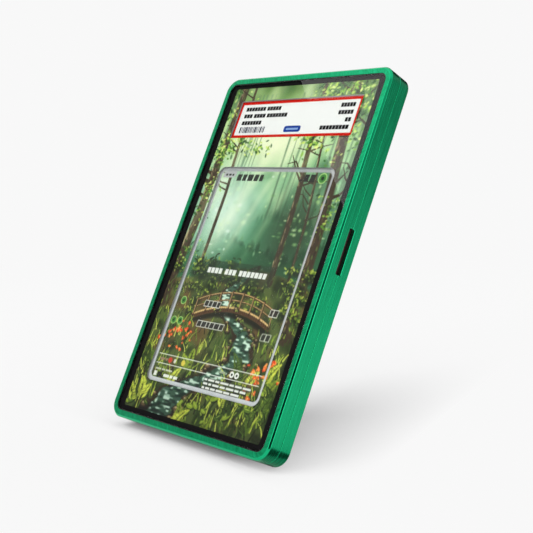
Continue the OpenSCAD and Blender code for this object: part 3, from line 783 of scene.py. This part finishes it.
# A generic brook in a sunny wood: mist and trunks above, a plank bridge, then stones, ferns and flowers
def paintBrook():
    rng = np.random.default_rng(art["seed"])
    c = Canvas(art["low"], art["high"], art["perMm"])
    x, y = c.x, c.y
    stops = [3, 20, 38, 54, 72, 90, 108, 124, 141]
    tones = np.array([(40, 46, 28), (60, 68, 38), (82, 92, 50), (58, 80, 50), (74, 112, 80), (112, 158, 124),
                      (146, 184, 136), (150, 182, 118), (84, 112, 62)]) / 255
    for k in range(3):
        c.paint[..., k] = np.interp(y, stops, tones[:, k])
    warp = softNoise(rng, x, y, 11) * 0.6 + softNoise(rng, x, y, 4.5) * 0.4
    c.wash((warp - 0.44) * 2.4, (206, 230, 176), 0.42)
    c.wash((0.48 - warp) * 2.6, (30, 66, 46), 0.55)
    # a sunlit clearing high up
    c.wash(1.25 - np.hypot((x + 6) / 25, (y - 116) / 12), (234, 242, 196), 0.8)
    # far trunks and two ridges of tree tops, darker the nearer they are
    for k in range(22):
        px, w = rng.uniform(-42, 42), rng.uniform(0.5, 1.5)
        c.stroke([(px, 64), (px + rng.normal(0, 2), 136)], (w, w * 0.6), (92, 118, 92), 0.28, 0.7)
    for base, tone, high in ((82, (74, 126, 94), 4.0), (72, (40, 82, 54), 5.0)):
        # the ridge's height: two sine waves
        def ridge(x):
            return base + high * (np.sin(x / 9 + base) * 0.6 + np.sin(x / 4.1 + base * 2) * 0.25)

        c.wash((ridge(x) + softNoise(rng, x, x, 1.3) * 1.8 - y) * 1.5, tone, 0.68)
        for k in range(60):
            px = rng.uniform(-42, 42)
            c.dab((px, ridge(px) + 1), (0.6 + rng.random(), 1.4 + rng.random() * 2), 0, np.array(tone) * 0.8,
                  0.6, 0.7)
    # pale mist on the left, with bright gaps between leaves
    c.wash(1.25 - np.hypot((x + 21) / 19, (y - 86) / 20), (204, 234, 210), 0.85)
    blotches(c, rng, (-20, 86), (9, 11), 60, (0.6, 2.2), (0.5, 1.5),
             [(232, 246, 232), (150, 196, 160), (196, 226, 176)], 0.5)
    # deep shade between the trees on the right, and small patches of light in it
    c.wash(1.3 - np.hypot((x - 20) / 17, (y - 80) / 19), (34, 54, 34), 0.78)
    blotches(c, rng, (20, 82), (9, 10), 70, (0.5, 1.7), (0.4, 1.2),
             [(150, 186, 120), (96, 136, 84), (208, 226, 168)], 0.6)
    # the banks, and the brook between them with its ripples
    bank = (61 + 4 * np.sin((x + 20) / 17) - y) * 0.8
    c.wash(bank, (84, 92, 46), 0.85)
    bank = np.clip(bank, 0, 1)
    c.wash(bank * (softNoise(rng, x, y, 3.5) - 0.38) * 2.6, (36, 46, 24), 0.85)
    c.wash(bank * (softNoise(rng, x, y, 5.5) - 0.55) * 2.6, (104, 78, 48), 0.8)
    middle, half = brookAt(y)
    inside = half - np.abs(x - middle + 1.1 * np.sin(y / 2.3)) + (softNoise(rng, x, y, 1.6) - 0.5) * 1.6
    c.wash((inside + 1.8) * 0.9, (52, 38, 24), 0.95)
    c.wash(inside * 1.2, (62, 92, 76), 0.95)
    ripple = softNoise(rng, x / 3, y, 0.7)
    c.wash(np.clip(inside, 0, 1) * (ripple - 0.6) * 5, (204, 230, 208), 0.9)
    c.wash(np.clip(inside, 0, 1) * (0.4 - ripple) * 5, (24, 42, 32), 0.85)
    # branches first, then the trunks they grow from
    trunks = [((34, 42), (28, 141), 3.6), ((-38, 48), (-33, 141), 3.0), ((17, 60), (12, 141), 1.7),
              ((-24, 62), (-27, 141), 1.1), ((26, 62), (20, 118), 0.8), ((41, 50), (39, 141), 1.6)]
    for foot, top, w in trunks:
        foot, top = np.array(foot, float), np.array(top, float)
        for k in range(7):
            t = 0.4 + 0.55 * rng.random()
            at = foot * (1 - t) + top * t
            reach = rng.uniform(5, 14) * rng.choice([-1, 1])
            c.stroke([at, at + (reach * 0.5, rng.uniform(1, 5)), at + (reach, rng.uniform(2, 9))],
                     (w * 0.26 + 0.1, 0.16), (60, 50, 34), 0.9)
        paintTrunk(c, rng, foot, top, w, (64, 54, 40), (176, 162, 124), (86, 108, 54))
    # light shafts falling to the lower left
    for px, w, s in ((-2, 3.4, 0.26), (8, 2.0, 0.2), (-20, 4.4, 0.2), (20, 2.6, 0.18)):
        away = np.abs((x - px) - (y - 120) * 0.42) / w
        c.wash((1.3 - away) * np.clip((y - 50) / 40, 0, 1), (238, 246, 200), s)
    # leaf canopy along the top and down the sides
    high = [(44, 84, 36), (82, 130, 48), (130, 174, 66), (180, 208, 92), (28, 56, 28), (216, 232, 136)]
    for k in range(44):
        side = rng.choice([-1, 1])
        leaves(c, rng, (side * rng.uniform(10, 42), rng.uniform(112, 141)), (3.4, 1.9), 22, 1.05, high, 0.9,
               0.5 * side)
    for k in range(26):
        side = rng.choice([-1, 1])
        leaves(c, rng, (side * rng.uniform(29, 42), rng.uniform(66, 112)), (2.6, 1.8), 16, 0.85, high, 0.85)
    # bushes on the banks
    low = [(34, 48, 24), (56, 78, 32), (90, 116, 42), (134, 156, 58), (188, 200, 88), (26, 32, 18)]
    for k in range(54):
        px, py = rng.uniform(-42, 42), 58 + min(rng.normal(0, 6), 7)
        if abs(px - brookAt(py)[0]) < 4:
            continue
        c.dab((px, py), (3.6, 2.4), 0, (26, 38, 22), 0.75, 0.7)
        leaves(c, rng, (px, py + 0.9), (2.3, 1.2), 22, 0.8, low, 0.95)
    paintBridge(c, 3.0, 44.0, 21.0, 4.5)
    # stones along the brook, dark below and lit above
    for sy in np.sort(rng.uniform(4, 55, 52))[::-1]:
        side = rng.choice([-1, 1])
        middle, half = brookAt(sy)
        sx = middle + side * (half + rng.uniform(-0.6, 3.0))
        s = np.interp(sy, [5, 56], [3.4, 0.9]) * rng.uniform(0.5, 1.3)
        c.dab((sx, sy), (s, s * 0.66), 0, (34, 28, 20), 0.98, 0.25)
        c.dab((sx - s * 0.12, sy + s * 0.16), (s * 0.76, s * 0.4), 0.1, (108, 88, 62), 0.95, 0.5)
        c.dab((sx - s * 0.2, sy + s * 0.3), (s * 0.42, s * 0.17), 0.1, (196, 182, 138), 0.85, 0.7)
        if rng.random() < 0.6:
            leaves(c, rng, (sx, sy - s * 0.3), (s * 0.7, s * 0.25), 8, 0.5, low, 0.95)
    # grass, longer and broader towards the front
    for gy in np.sort(rng.uniform(2, 58, 1000))[::-1]:
        gx = rng.uniform(-42, 42)
        if wet(gx, gy, 0.6) or (abs(gx - 3) < 20 and 42 < gy < 55):
            continue
        tall = np.interp(gy, [2, 58], [8.0, 1.5]) * rng.uniform(0.4, 1.2)
        drift = rng.normal(0, 0.4) * tall
        tone = low[rng.integers(len(low))]
        wide = np.interp(gy, [2, 58], [0.42, 0.2])
        c.stroke([(gx, gy), (gx + drift * 0.4, gy + tall * 0.6), (gx + drift, gy + tall)], (wide, wide * 0.4),
                 tone, 0.9, 0.6)
    # broad leaves with a pale rib, then ferns, both lit from above
    for k in range(46):
        px, py = rng.uniform(-41, 41), rng.uniform(3, 24)
        if wet(px, py, -1.5):
            continue
        turn, s = rng.uniform(-0.9, 0.9), rng.uniform(1.3, 2.9)
        c.dab((px + 0.4, py - 0.5), (s, s * 0.5), turn, (20, 26, 14), 0.8, 0.3)
        c.dab((px, py), (s, s * 0.46), turn, low[rng.integers(1, 4)], 1.0, 0.2)
        c.dab((px, py + s * 0.08), (s * 0.8, s * 0.07), turn, (190, 206, 104), 0.8, 0.5)
    for k in range(34):
        px, py = rng.uniform(-41, 41), rng.uniform(2, 26)
        if wet(px, py, 0):
            continue
        tone = [(52, 70, 30), (84, 106, 42), (128, 146, 54), (200, 210, 88)][rng.integers(4)]
        paintFern(c, rng, (px, py), rng.normal(0, 5), rng.uniform(6, 12), 2.4, tone)
    # orange-red flowers in two drifts
    for centre, spread, count, size in (((-22, 36), (5.0, 3.0), 26, 1.1), ((27, 27), (4.6, 3.0), 20, 1.35)):
        for k in range(count):
            at = np.array(centre) + rng.normal(0, 1, 2) * spread
            s = size * rng.uniform(0.6, 1.2)
            c.stroke([at - (0, 2.6 * s), at], (0.16, 0.16), (50, 76, 30), 0.9)
            for w in rng.uniform(0, 6.28, 4):
                c.dab(at + (0.35 * s * math.cos(w), 0.3 * s * math.sin(w)), (0.62 * s, 0.45 * s), w,
                      [(232, 104, 46), (206, 64, 34), (244, 146, 80)][rng.integers(3)], 0.95, 0.4)
            c.dab(at, (0.2 * s, 0.18 * s), 0, (250, 214, 120), 0.9, 0.6)
    # darker towards the bottom edge, more contrast throughout, and a little grain
    c.paint = np.clip(c.paint, 0, 1) * np.interp(y, [3, 30], [0.8, 1.0])[..., None]
    c.paint += 0.9 * (c.paint - 0.38) * c.paint * (1 - c.paint) + rng.normal(0, 0.012, c.paint.shape)
    return c


picture = paintBrook()
print("picture painted", picture.paint.shape)


# A flat printed sheet: a fine triangulated front that carries the painted colours, a plain back and its edges.
# The loops are closed outlines, the sheet's own first and then its holes; grid points within half a cell of a
# loop are left out, and triangles whose middle lies in a hole are dropped.
def printedSheet(name, loops, cell, front, back, canvas, material, edgeRgb):
    # which points lie on the sheet, further than the spare from every loop
    def within(points, spare):
        keep = np.ones(len(points), bool)
        for k, loop in enumerate(loops):
            low, high = loop.min(0), loop.max(0)
            radius = min(high[0] - loop[np.argmax(loop[:, 1]), 0], 4.0)
            away = awayFrom(*(points - (low + high) / 2).T, *(high - low) / 2, radius)
            keep &= away >= spare if k else away < -spare
        return keep

    # the points as a flat mesh that holds every edge of the loops
    def triangulate(spots):
        made = delaunay_2d_cdt([Vector(p) for p in spots], edges, [], 0, 1e-5, False)
        flat, triangles = np.array([tuple(v) for v in made[0]]), np.array(made[2])
        return flat, triangles[within(flat[triangles].mean(1), -1e-4)]

    low, high = loops[0].min(0), loops[0].max(0)
    gx, gy = np.meshgrid(np.arange(low[0] + cell, high[0], cell), np.arange(low[1] + cell, high[1], cell))
    grid = np.column_stack([gx.ravel(), gy.ravel()])
    grid = grid[within(grid, 0.45 * cell)]
    fine = []
    for loop in loops:
        ahead = np.roll(loop, -1, 0)
        parts = np.maximum(1, np.round(np.linalg.norm(ahead - loop, axis=1) / cell)).astype(int)
        fine.append(np.concatenate([a + (b - a) * (np.arange(n) / n)[:, None] for a, b, n in
                                    zip(loop, ahead, parts)]))
    rim = np.concatenate(fine)
    starts = np.append(0, np.cumsum([len(loop) for loop in fine]))
    edges = [(int(s + k), int(s + (k + 1) % (e - s))) for s, e in zip(starts[:-1], starts[1:])
             for k in range(e - s)]
    flat, frontFaces = triangulate(np.concatenate([rim, grid]))
    backFaces = triangulate(rim)[1]
    total = len(flat)
    points = np.concatenate([np.column_stack([flat, np.full(total, -front)]),
                             np.column_stack([rim, np.full(len(rim), -back)])])
    # the outline runs anticlockwise and so do the holes, so the holes' walls are turned round
    walls = np.array([(a, a + total, b + total, b) for a, b in edges])
    walls[starts[1]:] = walls[starts[1]:, ::-1]
    faces = frontFaces.tolist() + (backFaces[:, ::-1] + total).tolist() + walls.tolist()
    piece = makePiece(name, points, faces, [material], smooth=False)
    shades = np.concatenate([canvas.read(flat), np.tile(colour(*edgeRgb)[:3], (len(rim), 1))])
    layer = piece.data.color_attributes.new("print", "FLOAT_COLOR", "POINT")
    layer.data.foreach_set("color", np.column_stack([shades, np.ones(len(shades))]).astype(np.float32).ravel())
    return piece


card = {"w": 63.0, "h": 88.0, "r": 3.0, "border": 1.45, "cell": 0.26, "seed": 21, "edge": (226, 226, 220),
        "silver": (206, 168), "tint": (0.985, 1.0, 1.01), "mottle": 12.75, "extra": 0.5}
label = {"w": 65.8, "h": 16.0, "r": 0.4, "border": 1.3, "cell": 0.15, "seed": 5, "edge": (236, 236, 232),
         "white": (246, 246, 244), "red": (214, 24, 12), "ink": (4, 4, 6), "tall": 1.7, "gap": 0.8,
         "block": 1.55, "between": 0.2}
sheet = {"corner": 1.8, "gap": 0.15, "cell": 0.28, "edge": (150, 150, 140)}
for item, node in ((card, "trading_card"), (label, "slab_label")):
    low, high = caseBox(node)
    item.update(middle=(low[1] + high[1]) / 2, front=-high[2], back=-low[2])


# The outline of the card or the label, wider by a gap
def itemOutline(item, gap, steps):
    return roundOutline(item["w"] / 2 + gap, item["h"] / 2 + gap, item["r"] + gap, steps, (0, item["middle"]))


# The sheet behind the window, open over the card and the label
def makePictureSheet():
    low, high = caseBox("picture_sheet")
    outer = roundOutline((high[0] - low[0]) / 2, (high[1] - low[1]) / 2, sheet["corner"], 6, (0, middleY))
    loops = [outer, itemOutline(card, sheet["gap"], 10), itemOutline(label, sheet["gap"], 4)]
    piece = printedSheet("pictureSheet", loops, sheet["cell"], -high[2], -low[2], picture, printedPicture,
                         sheet["edge"])
    place(piece, "front_half", "printed_picture", "picture_sheet")


# The card or the label, cut from what was painted on its canvas
def makeItem(name, item, steps, canvas, material, slot, node):
    piece = printedSheet(name, [itemOutline(item, 0, steps)], item["cell"], item["front"], item["back"],
                         canvas, material, item["edge"])
    place(piece, "slab", slot, node)


# The card: the same picture inside a silver border, with plain bars, discs and rules over it
def makeCard():
    mid = card["middle"]
    c = Canvas((-32.5, mid - 45), (32.5, mid + 45), 10, mid)
    c.paint[:] = toDisplay(picture.read(np.column_stack([c.x.ravel(), c.y.ravel()]))).reshape(c.paint.shape)
    ink, light = (24, 26, 22), (240, 242, 236)
    dark, halo = (30, 30, 26), (222, 224, 214)
    rng = np.random.default_rng(card["seed"])

    # a row of short bars, all of their halos first
    def barRow(x0, y0, lengths, tall, rgb, halo=None, gap=0.5, slant=0.12):
        for spare, tone, strength, radius in ((0.28, halo, 0.9, 0.3), (0.0, rgb, 0.95, 0.12)):
            at = x0
            for length in lengths if tone else ():
                c.bar((at - spare, y0 - tall / 2 - spare), (at + length + spare, y0 + tall / 2 + spare), tone,
                      strength, radius, slant)
                at += length + gap

    # a round spot
    def spot(x0, y0, r, rgb, soft):
        c.dab((x0, y0), (r, r), 0, rgb, 1.0, soft)

    # a plain green disc with a pale ring
    def disc(x0, y0, r):
        for share, rgb, soft in ((1, (170, 214, 120), 0.12), (0.82, (60, 128, 48), 0.12),
                                 (0.4, (22, 44, 20), 0.3)):
            spot(x0, y0, r * share, rgb, soft)

    c.bar((-29.0, 39.9), (-21.6, 42.6), (178, 180, 180), 1.0, 1.0, 0.3)
    barRow(-27.6, 41.1, (1.2, 1.6, 1.0), 0.8, ink)
    barRow(-20.4, 39.9, (2.6, 2.2, 3.0, 2.4, 2.0), 2.7, ink, None, 0.7, 0.1)
    barRow(14.2, 39.2, (1.4,), 0.9, ink)
    barRow(16.6, 40.2, (2.3, 2.5), 3.0, ink, None, 0.6, 0.1)
    disc(25.8, 40.2, 2.25)
    c.bar((-22.5, -2.6), (17.5, 5.6), (34, 48, 34), 0.5)
    for start, count in ((-18.5, 4), (-8.4, 3), (-0.5, 7)):
        barRow(start, 1.6, (1.75,) * count, 2.1, light, None, 0.42, 0.05)
    disc(-26.2, -11.6, 1.75)
    barRow(-13.4, -11.4, (2.0, 1.8, 2.2, 1.6), 2.0, dark, halo, 0.35)
    barRow(22.4, -11.2, (1.4, 2.0), 2.3, (36, 30, 26), (226, 226, 216), 0.4)
    disc(-28.0, -19.8, 1.7)
    disc(-24.2, -19.6, 1.7)
    barRow(-13.8, -19.4, (2.2, 2.4, 1.6, 2.2, 2.6, 2.0), 2.0, dark, halo, 0.35)
    barRow(22.0, -20.2, (1.9, 1.9), 2.3, (30, 34, 26), (226, 230, 210), 0.4)
    for down in (33.4, 37.0):
        c.bar((-29.2, -down - 0.16), (28.8, -down + 0.16), (236, 238, 230), 0.9)
    spot(-21.6, -35.2, 1.2, (196, 62, 44), 0.15)
    spot(-13.8, -35.2, 1.2, (220, 200, 76), 0.15)
    barRow(-27.6, -35.2, (2.6, 1.4), 1.0, (150, 120, 100))
    barRow(-19.4, -35.2, (1.3,), 1.5, (226, 224, 210))
    barRow(-10.8, -35.2, (1.6, 1.2), 0.8, (60, 64, 40))
    barRow(7.2, -35.2, (3.0,), 0.8, (160, 170, 140))
    for px in (13.8, 16.4):
        spot(px, -35.2, 1.25, light, 0.15)
        spot(px, -35.2, 0.6, (40, 50, 34), 0.3)
    barRow(-28.4, -39.2, (3.2, 2.0, 3.8), 0.7, (204, 206, 190))
    c.bar((-28.6, -42.1), (-26.8, -40.3), (230, 232, 224), 1.0, 0.2)
    c.bar((-26.3, -42.1), (-23.6, -40.3), (28, 30, 26), 1.0, 0.2)
    barRow(-22.6, -41.3, (3.4, 1.6, 2.4), 1.1, light)
    for down, lengths in ((38.9, (1.6, 3.4, 2.2, 4.4, 2.4, 3.6, 4.0)),
                          (40.4, (2.4, 1.6, 3.6, 2.8, 4.0, 2.2, 3.0)), (41.9, (1.4, 2.2, 2.6, 3.6, 3.2, 4.4))):
        barRow(0.6, -down, lengths, 0.75, light, (40, 46, 32), 0.55)
    # the silver border, a little brighter towards the bottom
    away = awayFrom(c.x, c.y - mid, card["w"] / 2 - card["border"], card["h"] / 2 - card["border"],
                    card["r"] - card["border"] + card["extra"])
    shine = np.interp(c.y, [mid - 44, mid + 44], card["silver"])[..., None] * np.array(card["tint"])
    shine += (softNoise(rng, c.x, c.y, 3.0)[..., None] - 0.5) * card["mottle"]
    c.wash(0.5 + away * c.perMm, shine)
    makeItem("tradingCard", card, 12, c, cardStock, "card_stock", "trading_card")


# The label: white with a red border, rows of plain blocks, a run of thin stripes and a plain blue bar
def makeLabel():
    mid = label["middle"]
    c = Canvas((-34, mid - 9), (34, mid + 9), 12, mid)
    c.paint[:] = np.array(label["white"]) / 255
    inner = np.minimum(label["w"] / 2 - np.abs(c.x), label["h"] / 2 - np.abs(c.y - mid)) - label["border"]
    c.wash(0.5 - inner * c.perMm, label["red"])
    # each length in a row is a run of small blocks
    half = label["tall"] / 2
    for at, y0, lengths in ((-29.2, 4.6, (11.5, 8.0)), (-29.2, 1.6, (5.0, 6.8, 11.5)), (-29.2, -1.4, (11.5,)),
                            (22.8, 4.6, (7.2,)), (22.6, 1.6, (7.4,)), (27.0, -1.4, (3.0,)),
                            (15.5, -4.4, (14.5,))):
        for length in lengths:
            count = max(1, int(round(length / label["block"])))
            step = length / count
            for k in range(count):
                c.bar((at + k * step, y0 - half), (at + (k + 1) * step - label["between"], y0 + half),
                      label["ink"], 0.97, 0.12)
            at += length + label["gap"]
    rng = np.random.default_rng(label["seed"])
    at = -29.2
    while at < -14.4:
        w = rng.choice([0.3, 0.5, 0.75])
        c.bar((at, -5.7), (at + w, -3.2), (16, 20, 48), 1.0)
        at += w + rng.choice([0.26, 0.36, 0.5])
    c.bar((-3.6, -5.8), (5.4, -3.2), (20, 58, 146), 1.0, 0.9)
    c.bar((-2.4, -4.9), (4.2, -4.1), (150, 178, 226), 0.9, 0.4)
    makeItem("slabLabel", label, 5, c, labelPaper, "label_paper", "slab_label")


makePictureSheet()
makeCard()
makeLabel()
print("printed pieces made")

# Rounding of the copies: welding distance in metres, and angles in degrees
rounding = {"weld": 2e-6, "flat": 0.6, "sharp": 28, "segments": 2}


# Gives a mesh one finish
def giveFinish(mesh, material):
    mesh.materials.clear()
    mesh.materials.append(material)


# A merged copy of a CAD node, its flat areas made whole again, then its sharp edges rounded
def roundedCopy(node, name, width, material, body, slot):
    piece = bpy.data.objects.new(name, frame["nodes"][node].data.copy())
    scene.collection.objects.link(piece)
    made = bmesh.new()
    made.from_mesh(piece.data)
    bmesh.ops.remove_doubles(made, verts=made.verts, dist=rounding["weld"])
    bmesh.ops.dissolve_limit(made, angle_limit=math.radians(rounding["flat"]), verts=made.verts,
                             edges=made.edges)
    made.to_mesh(piece.data)
    made.free()
    giveFinish(piece.data, material)
    piece.data.polygons.foreach_set("use_smooth", np.full(len(piece.data.polygons), True))
    bevel = piece.modifiers.new("edges", "BEVEL")
    bevel.width, bevel.segments = width * mm, rounding["segments"]
    bevel.limit_method, bevel.angle_limit = "ANGLE", math.radians(rounding["sharp"])
    bevel.use_clamp_overlap = True
    weightNormals(piece)
    place(piece, body, slot, node)


# CAD node, name, width of its rounded edges in millimetres, finish, body and slot
for row in (("back_panel", "backPanel", 0.08, greenBack, "rear_half", "green_aluminium"),
            ("hinge_block", "hingeBlock", 0.08, blackBlock, "rear_half", "black_block"),
            ("kickstand_leg", "kickstandLeg", 0.08, greenBack, "kickstand", "green_aluminium"),
            ("kickstand_foot", "kickstandFoot", 0.10, footRubber, "kickstand", "foot_rubber"),
            ("card_tray", "cardTray", 0.05, trayPlastic, "slab", "tray_plastic"),
            ("back_screws", "backScrews", 0.03, steelBright, "rear_half", "steel"),
            ("hinge_screws", "hingeScrews", 0.03, steelBright, "rear_half", "steel"),
            ("hinge_pin", "hingePin", 0.05, steelBright, "rear_half", "steel")):
    roundedCopy(*row)

# CAD nodes that stay, with their finishes
for node, material in (("window_glue", blackGlue), ("black_border", blackFilm), ("window_tape", creamTape),
                       ("front_magnets", nickelMagnet), ("rear_magnets", nickelMagnet),
                       ("alignment_pins", steelBright), ("back_liner", foamLiner)):
    giveFinish(frame["nodes"][node].data, material)
print("machined pieces made")

studio = {"pale": 0.94, "fill": 0.65, "key": 0.37, "keyFrom": (-0.45, -0.80, 0.85), "keyAngle": 40.0,
          "shadeRight": (0.008, 0.062, 0.12, 1.0), "shadeFront": (-0.034, -0.041, 0.12, 0.88),
          "skew": 0.4, "shadeFar": (0.28, 0.62, 0.0, 1.0), "floorHalf": 12.0,
          "floorTone": (0.93, 0.93, 0.93, 1)}


# A plain glow; with (low height, its level, high height, its level) it changes with the height
def emission(name, level):
    material = bpy.data.materials.new(name)
    t = emptyTree(material)
    glow = t.add("Emission", {0: (1, 1, 1, 1)})
    if isinstance(level, tuple):
        low, lowLevel, high, highLevel = level
        height = t.add("SeparateXYZ", {0: t.add("TexCoord").outputs["Object"]}).outputs[2]
        t.link(t.spread(height, low, high, lowLevel, highLevel), glow.inputs[1])
    else:
        glow.inputs[1].default_value = level
    t.add("OutputMaterial", {0: glow.outputs[0]})
    return material


# The world: pale where it is seen or mirrored, and a plain fill light elsewhere
def makeWorld():
    world = bpy.data.worlds.new("studio")
    t = emptyTree(world)
    level = t.spread(t.rays("Camera", "Glossy", "Transmission"), 0, 1, studio["fill"], studio["pale"])
    back = t.add("Background", {0: (1, 1, 1, 1), 1: level})
    t.add("OutputWorld", {0: back.outputs[0]})
    scene.world = world


# The floor: a pale matt surface near the object that turns into the background's own tone further off
def makeFloor():
    material, t, shader = newMaterial("paleFloor", studio["floorTone"], Roughness=0.9, Specular_IOR_Level=0.0)
    spot = t.add("TexCoord").outputs["Object"]
    away = t.add("VectorMath", {0: spot}, operation="LENGTH").outputs["Value"]
    x, y = t.add("SeparateXYZ", {0: spot}).outputs[:2]
    # the shadow is full beside the case's foot and paler away from it, to the right and in front
    right = t.spread(t.math("ADD", x, t.math("MULTIPLY", y, studio["skew"])), *studio["shadeRight"])
    front = t.spread(y, *studio["shadeFront"])
    near = t.math("MULTIPLY", t.math("MAXIMUM", right, front), t.rays("Camera", "Transmission"))
    far = t.math("MULTIPLY", t.spread(away, *studio["shadeFar"]), t.rays("Camera", "Glossy", "Transmission"))
    glow = t.add("Emission", {0: (studio["pale"],) * 3 + (1,), 1: 1.0}).outputs[0]
    mixed = t.add("MixShader", {0: t.math("MAXIMUM", near, far), 1: shader.outputs[0], 2: glow})
    t.link(mixed.outputs[0], t.out.inputs[0])
    points = np.array([(-1, -1, 0), (1, -1, 0), (1, 1, 0), (-1, 1, 0)]) * studio["floorHalf"]
    floor = makePiece("floor", points, [(0, 1, 2, 3)], [material], inCase=False, smooth=False)


# A flat card that only mirrors see
def makeCardboard(name, corners, level):
    piece = makePiece(name, np.asarray(corners, float), [tuple(range(len(corners)))], [emission(name, level)],
                      inCase=False, smooth=False)
    for kind in ("camera", "diffuse", "shadow", "volume_scatter"):
        setattr(piece, "visible_" + kind, False)


# The key light: a wide sun, seen by no mirror
def makeKey():
    lamp = bpy.data.lights.new("key", "SUN")
    direction = Vector(studio["keyFrom"]).normalized()
    lamp.energy = studio["key"] * math.pi / direction.z
    lamp.angle = math.radians(studio["keyAngle"])
    key = bpy.data.objects.new("key", lamp)
    scene.collection.objects.link(key)
    key.rotation_mode = "QUATERNION"
    key.rotation_quaternion = direction.to_track_quat("Z", "Y")
    key.visible_glossy = False


mirrors = {"scale": 4.0, "softLevel": 1.05, "rimLevel": 2.2, "flagLevel": 0.02, "sheenA": (-1.8, 69.0),
           "sheenB": (40.0, 20.0), "far": 70.0, "flagLow": (-66.0, -105.0), "flagHigh": (52.0, 80.0),
           "labelShift": (1.89, -1.15),
           "strip": [(46, -5), (120, -5), (120, 140), (-20, 140), (-20, 74), (46, 74)],
           "grey": ((0.05, 0.40), (0.50, 0.16), 0.5, (0.0, 0.73, 0.13, 0.37)), "footHeight": 0.0004,
           "foot": [("mirroredShadeGrey", 0.040, 0.0465, 0.34), ("mirroredShadeDark", 0.0465, 0.062, 0.07)],
           "footY": (-0.034, -0.016)}


# A card in the window's mirror image: every point of its outline is carried on, by the scale, along the ray
# from the eye's mirror image behind the front face
def mirrorCard(name, outline, further, level):
    seen = toCase(eye) * (1, 1, -1)
    points = np.column_stack([outline, np.zeros(len(outline))]) + (0, middleY, 0)
    makeCardboard(name, toWorld(seen + (mirrors["scale"] + further) * (points - seen)), level)


# The four corners of an upright rectangle
def boxCorners(low, high):
    return [(low[0], low[1]), (high[0], low[1]), (high[0], high[1]), (low[0], high[1])]


# The softbox, whose sharp edge runs through the two points where the photograph's sheen ends, and the cards
# beside it
def makeMirrors():
    m = mirrors
    a, b = np.array(m["sheenA"]), np.array(m["sheenB"])
    line = (b - a) / np.linalg.norm(b - a)
    a, b, side = a - line * m["far"], b + line * m["far"], np.array([-line[1], line[0]]) * m["far"] * 1.2
    mirrorCard("softbox", [a, b, b + side, a + side], 0.0, m["softLevel"])
    # a brighter strip just outside what the window mirrors, for the brushed rim at the top and upper right
    mirrorCard("rimStrip", m["strip"], -0.05, m["rimLevel"])
    mirrorCard("darkFlag", boxCorners(m["flagLow"], m["flagHigh"]), 0.05, m["flagLevel"])
    # a dark flag that keeps the softbox off the label
    middle = np.add(m["labelShift"], (0, label["middle"] - middleY))
    half = np.array([label["w"], label["h"]]) / 2
    mirrorCard("labelFlag", boxCorners(middle - half, middle + half), -0.03, m["flagLevel"])
    # a grey card behind on the right, standing on the floor, that the side wall mirrors
    a, b, high, level = m["grey"]
    makeCardboard("greyCard", [(*a, 0.0), (*b, 0.0), (*b, high), (*a, high)], level)
    # two small cards just above the floor under the corner at the bottom right, the outer one the darker:
    # painted shade that stands in for the floor's shadow where the corner mirrors it
    (front, back), up = m["footY"], m["footHeight"]
    for name, near, away, level in m["foot"]:
        makeCardboard(name, [(*at, up) for at in boxCorners((near, front), (away, back))], level)


around = {"reach": 0.9, "cards": [("edgeFlag", (-62, -20), (2, 54), (0.37, 0.02, 0.60, 0.55)),
                                  ("cornerFlagA", (70, 128), (-12, 45), 0.01),
                                  ("cornerFlagB", (126, 150), (-20, 18), 0.01),
                                  ("lineCardRight", (-20, 22), (-10, 20), 2.4),
                                  ("lineCardFront", (-104, -62), (8, 48), 2.0)]}


# Cards round the case at a set reach, each between two headings and two heights in degrees: dark ones for the
# chamfer on the right and for the corner at the top right, bright ones for the thin lines along the edges
def makeAround():
    centre = toWorld([0, middleY, 0])
    for name, headings, heights, level in around["cards"]:
        h, v = np.radians(boxCorners(*zip(headings, heights))).T
        ways = np.column_stack([np.cos(h) * np.cos(v), np.sin(h) * np.cos(v), np.sin(v)])
        makeCardboard(name, centre + around["reach"] * ways, level)


scene.view_settings.view_transform = "Standard"
makeWorld()
makeFloor()
makeKey()
makeMirrors()
makeAround()
print("studio made")
